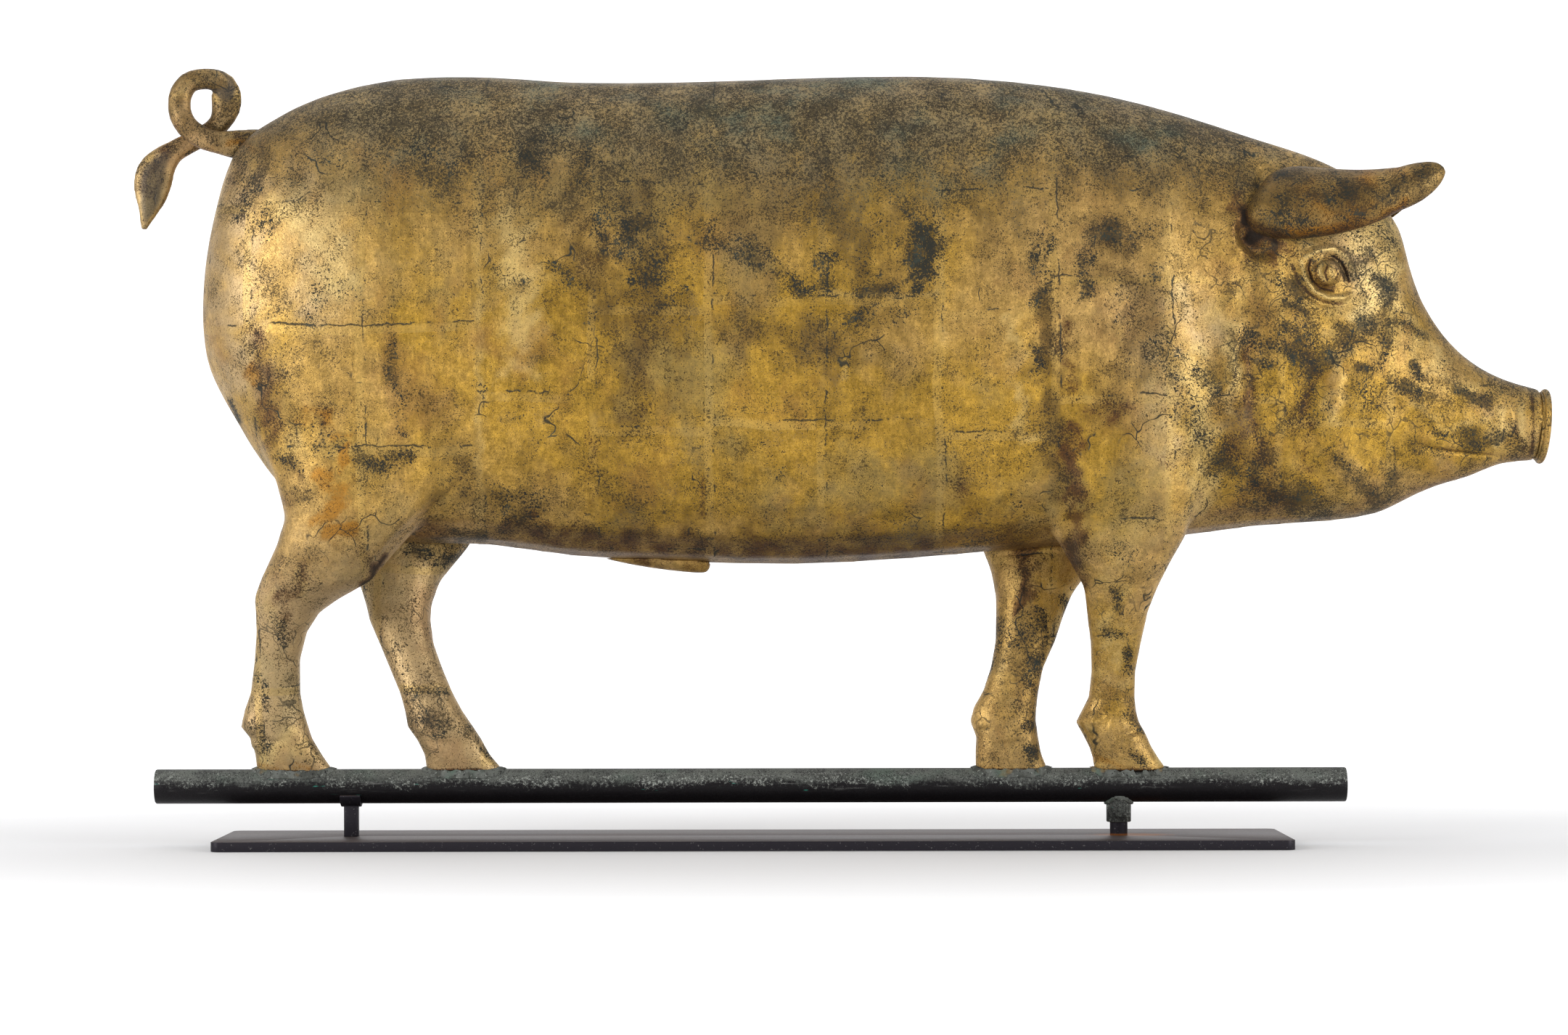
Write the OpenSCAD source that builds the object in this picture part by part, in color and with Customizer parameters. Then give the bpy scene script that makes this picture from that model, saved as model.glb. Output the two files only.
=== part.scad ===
// Pig weathervane of gilded sheet copper, on a flat steel display stand.
// +X points to the snout and +Z up. The origin is on the spindle's axis, at the underside of the plate.
// The near side is -Y and the far side is +Y.

/* [Pig] */
// Length from the rump to the face of the snout disc
pig_length = 912; // [800:2:1060]
// Height of the back above the crown of the carrier tube
pig_height = 470; // [420:2:540]
// Width across the barrel
pig_width = 166; // [146:2:210]
// Thickness of the copper sheet
sheet = 1.2; // [0.8:0.1:2]

/* [Head] */
// Diameter of the snout disc
snout_disc_d = 51; // [49:0.5:60]
// Thickness of the snout disc with its rim
snout_disc_t = 6; // [6:0.5:12]
// Diameter of the rolled rim of the snout disc
snout_rim_d = 5; // [3:0.5:6]
// Angle by which the top of the snout disc leans forward
snout_lean = 4.5; // [0:0.5:10]
// Diameter of a nostril
nostril_d = 8; // [5:0.5:11]
// Distance between the centres of the nostrils
nostril_gap = 18; // [15:0.5:24]
// Depth of a nostril
nostril_deep = 3; // [1:0.5:4]
// Length of an ear
ear_length = 132; // [100:1:160]
// Radius of an eyeball
eye_r = 9; // [6:0.5:12]

/* [Tail] */
// Size of the curl, as a share of the drawn one
tail_scale = 1; // [0.8:0.05:1.2]

/* [Carrier tube] */
// Outer diameter of the carrier tube
tube_d = 23.4; // [21:0.2:28]
// Wall of the carrier tube
tube_wall = 1.6; // [1:0.1:3]
// Length of tube behind the hindmost heel
tube_behind = 69; // [40:1:140]
// Length of tube ahead of the foremost toe
tube_ahead = 123; // [40:1:200]

/* [Socket] */
// Diameter of the spindle
spindle_d = 12; // [8:0.2:12.4]
// Gap between the spindle and the socket, on each side
spindle_gap = 0.08; // [0.04:0.02:0.1]
// Wall of the socket sleeve
socket_wall = 2.3; // [1.5:0.1:2.4]
// Length of the sleeve below the tube
socket_drop = 13.4; // [8:0.2:24]
// Length of the sleeve above the crown of the tube, inside the fore leg
socket_rise = 42; // [30:1:60]
// Depth of the bearing cup in the sleeve
cup_t = 8; // [5:0.5:12]
// Leg of the solder fillet between sleeve and tube
socket_fillet = 2.6; // [1.5:0.1:4]

/* [Stand] */
// Thickness of the base plate
plate_t = 6.35; // [5:0.05:12]
// Width of the base plate
plate_w = 127; // [90:1:200]
// Length of plate behind the rear post
plate_behind = 88; // [20:1:160]
// Length of plate ahead of the spindle
plate_ahead = 113; // [20:1:200]
// Radius of the plate's corners
plate_corner_r = 6; // [2:0.5:20]
// Length of spindle that shows between plate and sleeve
spindle_show = 8.9; // [4:0.1:20]
// Side of the rear post's square bar
post_side = 9.7; // [8:0.1:16]
// Width of the chamfer along the post's edges
post_chamfer = 1.2; // [0.5:0.1:2]
// Distance from the tube's rear end to the post
post_inset = 133; // [60:1:220]
// Length of the cradle along the tube
cradle_l = 13.9; // [11:0.1:30]
// Thickness of the cradle
cradle_t = 2; // [1.5:0.1:4]
// Angle that each arm of the cradle climbs round the tube
cradle_arm = 63; // [40:1:75]
// Gap between cradle and tube
cradle_gap = 0.2; // [0.1:0.05:0.5]
// Diameter of the screws under the plate
screw_d = 5; // [3:0.5:5]
// Diameter of a screw head
screw_head_d = 9.6; // [8:0.1:12]
// Length of a screw
screw_l = 15; // [13:0.5:20]

/* [Hidden] */

NEAR = -1;
FAR = 1;
GOLD = "#b8902f";
VERDIGRIS = "#3c4038";
STEEL = "#2a272b";

// Heights of the stand and the tube
tube_r = tube_d / 2;
tube_z = plate_t + spindle_show + socket_drop + tube_r;
crown_z = tube_z + tube_r;
seat_gap = 0.05;

// Size of the drawing that the stations below are taken from: length without the snout disc, width, height
// of the back above the tube, and the height of the tube's crown
drawn_length = 906;
drawn_width = 166;
drawn_height = 470.5;
drawn_crown = 52;
kx = (pig_length - snout_disc_t) / drawn_length;
ky = pig_width / drawn_width;
kz = pig_height / drawn_height;
function up(z) = crown_z + kz * (z - drawn_crown);

// Stations of the body: x, back, belly, half width, height of the widest point, roundness
body_rows = [
    [-621, 363, 357, 3, 360, 2],
    [-618, 399, 330, 24, 364, 2],
    [-611, 434, 312, 42, 368, 2.05],
    [-598, 474, 289, 58, 368, 2.1],
    [-574, 493, 251, 71, 362, 2.2],
    [-540, 509.5, 222, 79, 352, 2.25],
    [-490, 521, 207, 82, 348, 2.3],
    [-430, 522.5, 205, 80.5, 350, 2.35],
    [-370, 518.5, 197, 79.5, 350, 2.35],
    [-300, 518.5, 193, 82, 346, 2.35],
    [-220, 521, 191, 83, 344, 2.35],
    [-140, 522.5, 195, 82.5, 344, 2.35],
    [-70, 518.5, 201, 81, 344, 2.3],
    [-10, 509.5, 206, 79, 342, 2.3],
    [44, 495.5, 210, 73, 338, 2.25],
    [90, 480.5, 216, 65, 330, 2.2],
    [125, 469.5, 218.5, 57, 322, 2.2],
    [155, 456, 221, 50, 315, 2.2],
    [177, 437.5, 225.5, 43.5, 310, 2.2],
    [190, 420, 231.5, 38.5, 305, 2.15],
    [196, 397, 234.5, 36, 302, 2.1],
    [205, 370.5, 239, 33, 298, 2.1],
    [220, 345, 244.5, 29, 291, 2.05],
    [240, 326, 250, 25.5, 286, 2],
    [262, 314.5, 259, 23.5, 284.5, 2],
    [285, 308, 260.5, 23.5, 284, 2]
];

// Swells and hollows of the flank: x, z, reach along, reach up, height
lean_row = 21;
swells = [
    [-530, 310, 55, 60, 4],
    [-462, 345, 16, 80, -3],
    [-20, 320, 42, 85, 5],
    [-78, 330, 14, 95, -3],
    [58, 330, 18, 70, -3],
    [120, 300, 34, 38, 5],
    [176, 300, 12, 42, -3],
    [139, 408, 24, 10, 2.5]
];

// Stations of a leg: z, x of the back edge, x of the front edge, y outwards, half width, roundness
near_hind = [
    [50, -586, -535.5, 0, 9, 2.4],
    [62, -587, -542.5, 0.5, 11.5, 2.4],
    [73, -590, -549, 1, 12.5, 2.4],
    [81, -596.5, -551.5, 1.5, 13, 2.2],
    [92, -594, -554.5, 2.5, 12.5, 2.1],
    [104, -589.5, -556.5, 4.5, 12, 2.1],
    [127, -586, -556, 10, 13, 2.1],
    [146, -584, -550.5, 16, 15, 2.1],
    [159, -584, -541.5, 21, 17, 2.1],
    [168, -585, -528, 25, 19.5, 2.1],
    [180, -580, -506, 31, 23, 2.2],
    [204, -568, -484.5, 38, 29, 2.2],
    [223, -561.5, -466.5, 42, 33, 2.2],
    [249, -568, -448.5, 43, 36, 2.2],
    [280, -582, -437, 40, 36, 2.2],
    [315, -596, -442, 34, 32, 2.2]
];
far_hind = [
    [50, -470.5, -420, 0, 9, 2.4],
    [62, -472, -428.5, 0.5, 11.5, 2.4],
    [72, -477, -434, 1, 12.5, 2.4],
    [81, -483.5, -440, 1.5, 13, 2.2],
    [92, -485.5, -447.5, 2.5, 12.5, 2.1],
    [104, -489, -454, 4.5, 12, 2.1],
    [120, -496, -461, 8.5, 12.5, 2.1],
    [137, -503.5, -467.5, 14, 14, 2.1],
    [153, -511, -470, 19.5, 16.5, 2.1],
    [163, -514, -469.5, 24, 18.5, 2.1],
    [180, -520, -464, 31, 23, 2.2],
    [204, -543, -444.5, 38, 29, 2.2],
    [223, -562, -436, 42, 33, 2.2],
    [249, -574, -433, 43, 36, 2.2],
    [280, -588, -435, 40, 36, 2.2],
    [315, -600, -443, 34, 32, 2.2]
];
near_fore = [
    [50, -16.5, 31.5, 0, 9, 2.4],
    [58, -17, 27, 0, 11, 2.4],
    [66, -19.5, 22, 0, 12.5, 2.4],
    [75, -24, 18, 0, 13, 2.3],
    [83, -28.5, 13.5, 0, 13.5, 2.3],
    [91, -24.5, 11.5, 0.5, 13, 2.3],
    [100, -20, 10.5, 2, 12.5, 2.2],
    [118, -18.5, 10.5, 7.5, 12.5, 2.1],
    [138, -19.5, 14, 13.5, 14, 2.1],
    [158, -22.5, 18, 20, 17, 2.1],
    [176, -25.5, 25, 26, 20, 2.1],
    [192, -35, 32.5, 32, 24, 2.2],
    [209, -45.5, 42, 37, 28, 2.2],
    [240, -58.5, 53.5, 42, 33, 2.2],
    [280, -66.5, 57.5, 42, 36, 2.2],
    [330, -68, 56, 38, 38, 2.2],
    [380, -62, 48, 30, 36, 2.2]
];
far_fore = [
    [50, -97, -49, 0, 9, 2.4],
    [62, -97, -53, 0.5, 11.5, 2.4],
    [73, -96.5, -55, 1, 12.5, 2.4],
    [84, -100.5, -56.5, 1.5, 13, 2.2],
    [93, -98, -56, 2.5, 12.5, 2.1],
    [104, -91.5, -54.5, 4.5, 12, 2.1],
    [120, -86, -51, 8.5, 12.5, 2.1],
    [138, -82.5, -42.5, 14, 14, 2.1],
    [155, -82, -36.5, 19, 16.5, 2.1],
    [171, -82.5, -29, 25, 19.5, 2.1],
    [187, -85.5, -17, 30, 23, 2.2],
    [200, -90.5, -2, 34, 26, 2.2],
    [225, -93, 27, 39, 31, 2.2],
    [260, -90, 50, 42, 35, 2.2],
    [310, -80, 58, 40, 37, 2.2],
    [370, -65, 52, 32, 36, 2.2]
];

// Stations of an ear, with x from its root: x, y and z of the lower edge, of the upper edge, and bulge
ear_root_x = 80;
ear_rows = [
    [0.5, 50, 426.5, 2.5, 48, 429.5, 3],
    [1.5, 51, 418, 10, 44, 442, 13],
    [6, 52, 411, 18, 40, 452, 19],
    [18, 54, 407.5, 28.5, 37, 458, 23],
    [35, 57, 406.5, 42, 39, 458, 24],
    [53, 60, 408, 60, 44, 455.5, 23],
    [71.5, 63, 411.5, 78, 50, 454, 20],
    [89, 65, 417.5, 95, 56, 454.5, 16],
    [105, 66.5, 426, 109.5, 62, 455.5, 12],
    [118.5, 67.5, 434.5, 120.5, 66, 455.5, 8],
    [128, 68, 442.5, 128.5, 68, 454.5, 5],
    [132, 68.5, 448.5, 132.5, 68.5, 451.5, 1.5]
];
ear_drawn = 132;
ear_least = 0.2;

// Stations of the tail from its root at x -600, z 477: x, y, z, half width, half depth
tail_root = [-600, 0, 477];
tail_rows = [
    [16, 0, 0, 11, 9],
    [0, 0, 0.5, 10, 8.5],
    [-10.5, -2, 1.5, 8, 7.5],
    [-19, -5, 3.5, 7.8, 7],
    [-26, -7, 7, 7.8, 6.5],
    [-32, -7.5, 12, 7.8, 6.5],
    [-36.5, -6.5, 20, 8, 6.5],
    [-37.5, -5, 28, 8, 6.5],
    [-36.5, -3.5, 35, 8, 6.5],
    [-32, -2, 42, 7.5, 6.5],
    [-25, -0.5, 44.7, 7.3, 6.5],
    [-16, 1.5, 45, 7.5, 6.5],
    [-9, 4, 41.5, 8.8, 6.5],
    [-7, 6, 34, 10.6, 6],
    [-8, 8, 25, 10, 6],
    [-12.5, 9, 15.5, 7.5, 6.5],
    [-22, 9, 8, 7, 6.5],
    [-35, 8, 1, 7.3, 6],
    [-43.5, 7, -4, 8, 6],
    [-50.5, 6, -10.5, 11, 5.5],
    [-55.5, 5, -18.5, 13.5, 5],
    [-57.5, 5, -27, 13.2, 5],
    [-58.5, 4.5, -35.5, 11, 4.5],
    [-60, 4, -44, 7.2, 4],
    [-62, 4, -51.5, 4.1, 3],
    [-63, 4, -57, 2, 1.5]
];

// Stations of the sheath: x, half width, lowest point
sheath_rows = [
    [-352, 3, 195.5],
    [-335, 7, 191.5],
    [-315, 9, 188],
    [-297, 9.5, 185.8],
    [-283, 8.5, 184.8],
    [-279, 6.5, 186.5],
    [-277.5, 4, 190]
];
sheath_core_z = 200;

// The eye sits in the skin at this station and angle, in a ring of lid that is stretched lengthwise
eye_station = 16.5;
eye_angle = 65;
eye_sink = 5.5;
lid_r = 1.8;
lid_place = 0.95;
lid_stretch = 1.45;
// Middle of the snout disc
snout_z = up(284);
front_x = 285 * kx;

// Places on the stand
tube_x0 = kx * near_hind[0][1] - tube_behind;
tube_x1 = kx * near_fore[0][2] + tube_ahead;
post_x = tube_x0 + post_inset;
cradle_r = tube_r + cradle_gap;
plate_x0 = post_x - plate_behind;
plate_x1 = plate_ahead;
socket_r = spindle_d / 2 + spindle_gap + socket_wall;
socket_top = crown_z + socket_rise;
cup_r = spindle_d / 2 + spindle_gap - seat_gap;
cup_z = socket_top - cup_t;
spindle_tip = spindle_d / 4;
screw_shank_r = screw_d / 2;
screw_hole_r = screw_shank_r + seat_gap;
screw_sink_r = screw_head_d / 2 + seat_gap;
screw_sink = 0.3;
screw_cone = (screw_head_d - screw_d) / 2;
thread_room = 1.5;
tip_room = 0.5;
tip_flat = 0.4;
hair = 0.01;
past = 1;

// Each leg's stations, the row where it is soldered to the body, and its least reach round the sleeve
leg_room = 0.6;
NEAR_HIND = [near_hind, 10, 0];
FAR_HIND = [far_hind, 10, 0];
NEAR_FORE = [near_fore, 10, socket_r + sheet + leg_room];
FAR_FORE = [far_fore, 9, 0];

// Solder round the hooves: reach along the tube, reach as a share of the tube's radius, climb as a share of
// the way to the hoof's second station, gap to the hoof's wall, and thickness of the bead's edge
solder_foot = 5;
solder_side = 0.92;
solder_climb = 0.2;
solder_gap = 0.3;
solder_edge = 0.3;

// A smooth curve through the rows of a table, at row number s
function row(table, i) = table[max(0, min(len(table) - 1, i))];
function curve(a, b, c, d, t) =
    (2 * b + (c - a) * t + (2 * a - 5 * b + 4 * c - d) * t * t + (3 * b - a - 3 * c + d) * t * t * t) / 2;
function along(table, s) =
    let (i = min(floor(s), len(table) - 2))
    curve(row(table, i - 1), row(table, i), row(table, i + 1), row(table, i + 2), s - i);
function steps(first, last, n) = [for (i = [0 : n]) first + (last - first) * i / n];
function unit(v) = v / max(norm(v), 1e-9);
function bent(v, roundness) = sign(v) * pow(abs(v), 2 / roundness);

// A point of the body at station s and angle a, from 0 at the back to 180 at the belly
function swell(x, z) =
    let (parts = [for (b = swells) b[4] * exp(-pow((x - b[0]) / b[2], 2) - pow((z - b[1]) / b[3], 2))])
    parts * [for (b = swells) 1];
function body_point(s, a) =
    let (
        r = along(body_rows, s),
        half = cos(a) >= 0 ? r[1] - r[4] : r[4] - r[2],
        share = bent(sin(a), r[5]),
        z = r[4] + half * bent(cos(a), r[5]),
        y = share * (r[3] + swell(r[0], z)),
        lean = tan(snout_lean) * max(0, s - lean_row) / (len(body_rows) - 1 - lean_row)
    )
    [r[0] * kx + lean * (up(z) - snout_z), y * ky, up(z)];
function front_at(z) = front_x + tan(snout_lean) * (z - snout_z);
function body_normal(s, a) =
    let (
        e = 0.02,
        ds = body_point(s + e, a) - body_point(max(s - e, 0), a),
        da = body_point(s, min(a + 1, 180)) - body_point(s, max(a - 1, 0)),
        n = unit(cross(ds, da)),
        seam = a < 0.5 || a > 179.5
    )
    seam ? unit([n[0], 0, n[2]]) : n;
function body_inner(s, a) =
    let (p = body_point(s, a) - sheet * body_normal(s, a))
    [min(p[0], front_at(p[2])), max(p[1], 0), p[2]];

// Ring of a leg at row s, drawn in by inset
function leg_ring(leg, side, s, angles, inset) =
    let (
        r = along(leg[0], s),
        front = leg[2] > 0 ? max(kx * r[2], leg[2]) : kx * r[2],
        xm = (kx * r[1] + front) / 2,
        a = (front - kx * r[1]) / 2 - inset,
        b = max(ky * r[4], leg[2]) - inset,
        ym = ky * r[3],
        z = up(r[0])
    )
    [for (t = angles) let (y = side * (ym + b * bent(sin(t), r[5]))) [
        xm + a * bent(cos(t), r[5]),
        y,
        max(z, foot_z(y))
    ]];

// Height of the tube's surface at y, where a hoof stands on it
function foot_z(y) = abs(y) < tube_r ? tube_z + sqrt(tube_r * tube_r - y * y) + seat_gap : 0;

// Faces as they are, or turned to point the other way
function turned(faces, flip) = [for (f = faces) flip ? [for (k = [len(f) - 1 : -1 : 0]) f[k]] : f];

// Closed skin over rings with equally many points, with flat ends
module skin(rings, flip = false) {
    n = len(rings[0]);
    m = len(rings);
    sides = [for (i = [0 : m - 2], j = [0 : n - 1], k = [0, 1])
        let (a = i * n + j, b = i * n + (j + 1) % n, c = a + n, d = b + n)
        k == 0 ? [a, b, c] : [b, d, c]];
    ends = [[for (j = [n - 1 : -1 : 0]) j], [for (j = [0 : n - 1]) (m - 1) * n + j]];
    faces = concat(sides, ends);
    polyhedron([for (r = rings, p = r) p], turned(faces, flip));
}

// Open sheet between an outer and an inner grid of points
module sheet_skin(outer, inner, flip = false) {
    n = len(outer[0]);
    m = len(outer);
    half = n * m;
    function quad(a, b, c, d) = [[a, b, c], [b, d, c]];
    outside = [for (i = [0 : m - 2], j = [0 : n - 2])
        each quad(i * n + j, i * n + j + 1, (i + 1) * n + j, (i + 1) * n + j + 1)];
    inside = [for (f = outside) [f[2] + half, f[1] + half, f[0] + half]];
    edges = [for (i = [0 : m - 2], e = [0, n - 1])
        let (a = i * n + e, c = a + n)
        each (e == 0 ? quad(a, c, a + half, c + half) : quad(c, a, c + half, a + half))];
    ends = [for (j = [0 : n - 2], e = [0, m - 1])
        let (a = e * n + j)
        each (e == 0 ? quad(a + 1, a, a + 1 + half, a + half) : quad(a, a + 1, a + half, a + 1 + half))];
    faces = concat(outside, inside, edges, ends);
    points = concat([for (r = outer, p = r) p], [for (r = inner, p = r) p]);
    polyhedron(points, turned(faces, flip));
}

// One welded mesh of its children
module welded() {
    resize([0, 0, 0]) children();
}

body_s = steps(0, len(body_rows) - 1, 2 * (len(body_rows) - 1));
body_a = steps(0, 180, 12);
leg_angles = [for (t = [0 : 22.5 : 359]) t];
socket_angles = [for (t = [0 : 11.25 : 359]) t];

module body_half_solid(side) {
    last = len(body_a) - 1;
    order = side == NEAR ? [last : -1 : 0] : [0 : last];
    skin([for (s = body_s)
        [for (i = order) let (p = body_point(s, body_a[i])) [p[0], side * p[1], p[2]]]]);
}

// The whole body, as its outer form or as the hollow inside the sheet
module body_form(hollow) {
    skin([for (s = body_s)
        let (
            far = [for (a = body_a) hollow ? body_inner(s, a) : body_point(s, a)],
            near = [for (i = [len(far) - 2 : -1 : 1]) [far[i][0], -far[i][1], far[i][2]]]
        )
        concat(far, near)]);
}

// Upper part of a leg, which is formed in one sheet with the flank
module haunch(leg, side, inset) {
    rows = len(leg[0]) - 1;
    shift = inset > 0 ? 0.1 : 0;
    s = steps(leg[1] - shift, rows - shift, rows - leg[1]);
    skin([for (i = s) leg_ring(leg, side, i, leg_angles, inset)], side == FAR);
}

// The eyeball and its lids stand out of the skin, square to it
module eye(side) {
    p = body_point(eye_station, eye_angle);
    n = body_normal(eye_station, eye_angle);
    along_x = unit([1, -n[0] / n[1], 0]);
    up_z = cross(n, along_x);
    mirror([0, side == NEAR ? 1 : 0, 0])
        multmatrix([for (i = [0 : 2]) [along_x[i], up_z[i], n[i], p[i]]]) {
            translate([0, 0, -eye_sink]) sphere(eye_r, $fn = 16);
            scale([lid_stretch, 1, 1]) rotate_extrude($fn = 16)
                translate([eye_r * lid_place, 0]) circle(lid_r, $fn = 6);
        }
}

module body_half(side, hind, fore) {
    color(GOLD) welded() difference() {
        union() {
            body_half_solid(side);
            haunch(hind, side, 0);
            haunch(fore, side, 0);
            eye(side);
        }
        body_form(hollow = true);
        haunch(hind, side, sheet);
        haunch(fore, side, sheet);
    }
}

module body_near() {
    body_half(NEAR, NEAR_HIND, NEAR_FORE);
}

module body_far() {
    body_half(FAR, FAR_HIND, FAR_FORE);
}

// Half of a leg below the joint to the body. Face is 1 for the outer half and -1 for the inner one.
module leg_half(leg, side, face) {
    s = steps(0, leg[1], leg[1]);
    angles = steps(0, 180 * face, 8);
    outer = [for (i = s) leg_ring(leg, side, i, angles, 0)];
    inner = [for (i = s) leg_ring(leg, side, i, angles, sheet)];
    color(GOLD) sheet_skin(outer, inner, side * face > 0);
}

module near_hind_leg_outer() {
    leg_half(NEAR_HIND, NEAR, 1);
}

module near_hind_leg_inner() {
    leg_half(NEAR_HIND, NEAR, -1);
}

module far_hind_leg_outer() {
    leg_half(FAR_HIND, FAR, 1);
}

module far_hind_leg_inner() {
    leg_half(FAR_HIND, FAR, -1);
}

module near_fore_leg_outer() {
    leg_half(NEAR_FORE, NEAR, 1);
}

module near_fore_leg_inner() {
    leg_half(NEAR_FORE, NEAR, -1);
}

module far_fore_leg_outer() {
    leg_half(FAR_FORE, FAR, 1);
}

module far_fore_leg_inner() {
    leg_half(FAR_FORE, FAR, -1);
}

// An ear is a cupped leaf, trimmed where its root meets the head
function ear_grid(side, inset) = [for (s = steps(0, len(ear_rows) - 1, len(ear_rows) - 1))
    let (
        r = along(ear_rows, s),
        stretch = ear_length / ear_drawn,
        low = [kx * ear_root_x + stretch * r[0], ky * r[1], up(r[2])],
        high = [kx * ear_root_x + stretch * r[3], ky * r[4], up(r[5])],
        middle = (low + high) / 2,
        reach = (high - low) / 2,
        keep = max(ear_least, 1 - inset / norm(reach)),
        bulge = max(ear_least, ky * r[6] - inset)
    )
    [for (t = steps(-90, 90, 8))
        let (p = middle + reach * keep * sin(t) + [0, bulge * cos(t), 0])
        [p[0], side * p[1], p[2]]]];

module ear(side) {
    color(GOLD) welded() difference() {
        sheet_skin(ear_grid(side, 0), ear_grid(side, sheet), side == FAR);
        body_form(hollow = false);
    }
}

module ear_near() {
    ear(NEAR);
}

module ear_far() {
    ear(FAR);
}

// The snout disc closes the end of the snout, with a rolled rim round its edge
module snout_disc() {
    rim_r = snout_rim_d / 2;
    disc_r = snout_disc_d / 2;
    face_t = snout_disc_t - rim_r;
    color(GOLD) translate([front_x, 0, snout_z]) rotate([0, 90 + snout_lean, 0]) difference() {
        union() {
            cylinder(r = disc_r - rim_r, h = face_t, $fn = 64);
            translate([0, 0, snout_disc_t - rim_r]) rotate_extrude($fn = 64)
                translate([disc_r - rim_r, 0]) circle(rim_r, $fn = 24);
        }
        for (y = [-1, 1])
            translate([0, y * nostril_gap / 2, face_t - nostril_deep])
                cylinder(d = nostril_d, h = nostril_deep + rim_r, $fn = 32);
    }
}

// The tail is one rod in a curl that ends in a leaf
function tail_point(s) =
    let (r = along(tail_rows, s))
    [tail_root[0] * kx + r[0] * tail_scale, r[1] * tail_scale, up(tail_root[2]) + r[2] * tail_scale];
function tail_ring(s) =
    let (
        r = along(tail_rows, s),
        last = len(tail_rows) - 1,
        t = unit(tail_point(min(s + 0.1, last)) - tail_point(max(s - 0.1, 0))),
        across = unit(cross(t, [0, 1, 0]))
    )
    [for (a = [0 : 36 : 359])
        tail_point(s) + tail_scale * (across * r[3] * cos(a) + [0, 1, 0] * r[4] * sin(a))];

module tail() {
    color(GOLD) welded() difference() {
        skin([for (s = steps(0, len(tail_rows) - 1, 2 * (len(tail_rows) - 1))) tail_ring(s)]);
        body_form(hollow = false);
    }
}

// The sheath is a small raised cone soldered under the belly
module sheath() {
    rings = [for (s = steps(0, len(sheath_rows) - 1, 10))
        let (r = along(sheath_rows, s))
        [for (a = [0 : 20 : 359]) [
            r[0] * kx,
            ky * r[1] * cos(a),
            up(sheath_core_z) + kz * (sheath_core_z - r[2]) * sin(a)
        ]]];
    color(GOLD) welded() difference() {
        skin(rings, true);
        body_form(hollow = false);
    }
}

// A bead of solder on the tube, through the edges of its section, of which the first is inside the tube
module solder_bead(edges, flip) {
    m = len(edges);
    n = len(edges[0]);
    faces = [for (i = [0 : n - 1], k = [0 : m - 1])
        let (j = (i + 1) % n, from = k * n, to = ((k + 1) % m) * n)
        each [[from + i, to + i, from + j], [from + j, to + i, to + j]]];
    color(VERDIGRIS) welded() difference() {
        polyhedron([for (e = edges, p = e) p], turned(faces, flip));
        tube_bar(tube_x0, tube_x1, tube_r + 2 * seat_gap, 32);
    }
}

// Height above the tube's axis of its surface at y, or of a surface that much outside it
function tube_rise(y, outside) = sqrt(max(0, pow(tube_r + outside, 2) - y * y));

module hoof_bead(leg, side) {
    reach = solder_side * tube_r;
    wall = leg_ring(leg, side, 0, leg_angles, -solder_gap);
    next = leg_ring(leg, side, 1, leg_angles, -solder_gap);
    spread = leg_ring(leg, side, 0, leg_angles, -solder_foot);
    core = [for (p = wall) [p[0], p[1], tube_z]];
    foot = [for (p = spread)
        let (y = max(-reach, min(reach, p[1])))
        [p[0], y, tube_z + tube_rise(y, solder_edge)]];
    top = [for (i = [0 : len(wall) - 1]) wall[i] + solder_climb * (next[i] - wall[i])];
    solder_bead([core, foot, top, wall], side == NEAR);
}

module hoof_solder() {
    hoof_bead(NEAR_HIND, NEAR);
    hoof_bead(FAR_HIND, FAR);
    hoof_bead(NEAR_FORE, NEAR);
    hoof_bead(FAR_FORE, FAR);
}

// A round bar on the tube's axis
module tube_bar(x0, x1, r, sides = 64) {
    translate([x0, 0, tube_z]) rotate([0, 90, 0]) cylinder(r = r, h = x1 - x0, $fn = sides);
}

// The carrier tube lies under all four hooves and is drilled for the sleeve
module carrier_tube() {
    color(VERDIGRIS) difference() {
        tube_bar(tube_x0, tube_x1, tube_r);
        tube_bar(tube_x0 - past, tube_x1 + past, tube_r - tube_wall);
        cylinder(r = socket_r, h = crown_z + past, $fn = 48);
    }
}

// The sleeve stands upright through the tube and up into the fore leg
module socket_sleeve() {
    bottom = plate_t + spindle_show;
    color(VERDIGRIS) translate([0, 0, bottom]) difference() {
        cylinder(r = socket_r, h = socket_top - bottom, $fn = 48);
        translate([0, 0, -past])
            cylinder(r = socket_r - socket_wall, h = socket_top - bottom + 2 * past, $fn = 48);
    }
}

// The bead of solder under the tube, round the sleeve
module socket_solder() {
    r = socket_r + seat_gap;
    far_r = min(r + socket_fillet, solder_side * tube_r);
    core = [for (t = socket_angles) [r * cos(t), r * sin(t), tube_z]];
    foot = [for (t = socket_angles)
        [far_r * cos(t), far_r * sin(t), tube_z - tube_rise(far_r * sin(t), solder_edge)]];
    low = [for (t = socket_angles)
        [r * cos(t), r * sin(t), tube_z - tube_rise(r * sin(t), socket_fillet)]];
    solder_bead([core, foot, low], true);
}

// The cup closes the sleeve and rides on the tip of the spindle
module bearing_cup() {
    color("silver") translate([0, 0, cup_z]) difference() {
        cylinder(r = cup_r, h = cup_t, $fn = 48);
        translate([0, 0, -hair])
            cylinder(r1 = spindle_tip + tip_room, r2 = tip_room, h = spindle_tip, $fn = 48);
    }
}

// A flat rectangle with round corners
module rounded_plate(x0, x1, width, r) {
    y = width / 2;
    translate([x0 + r, -y]) square([x1 - x0 - 2 * r, width]);
    translate([x0, -y + r]) square([x1 - x0, width - 2 * r]);
    for (x = [x0 + r, x1 - r], s = [-1, 1])
        translate([x, s * (y - r)]) circle(r, $fn = 48);
}

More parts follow.
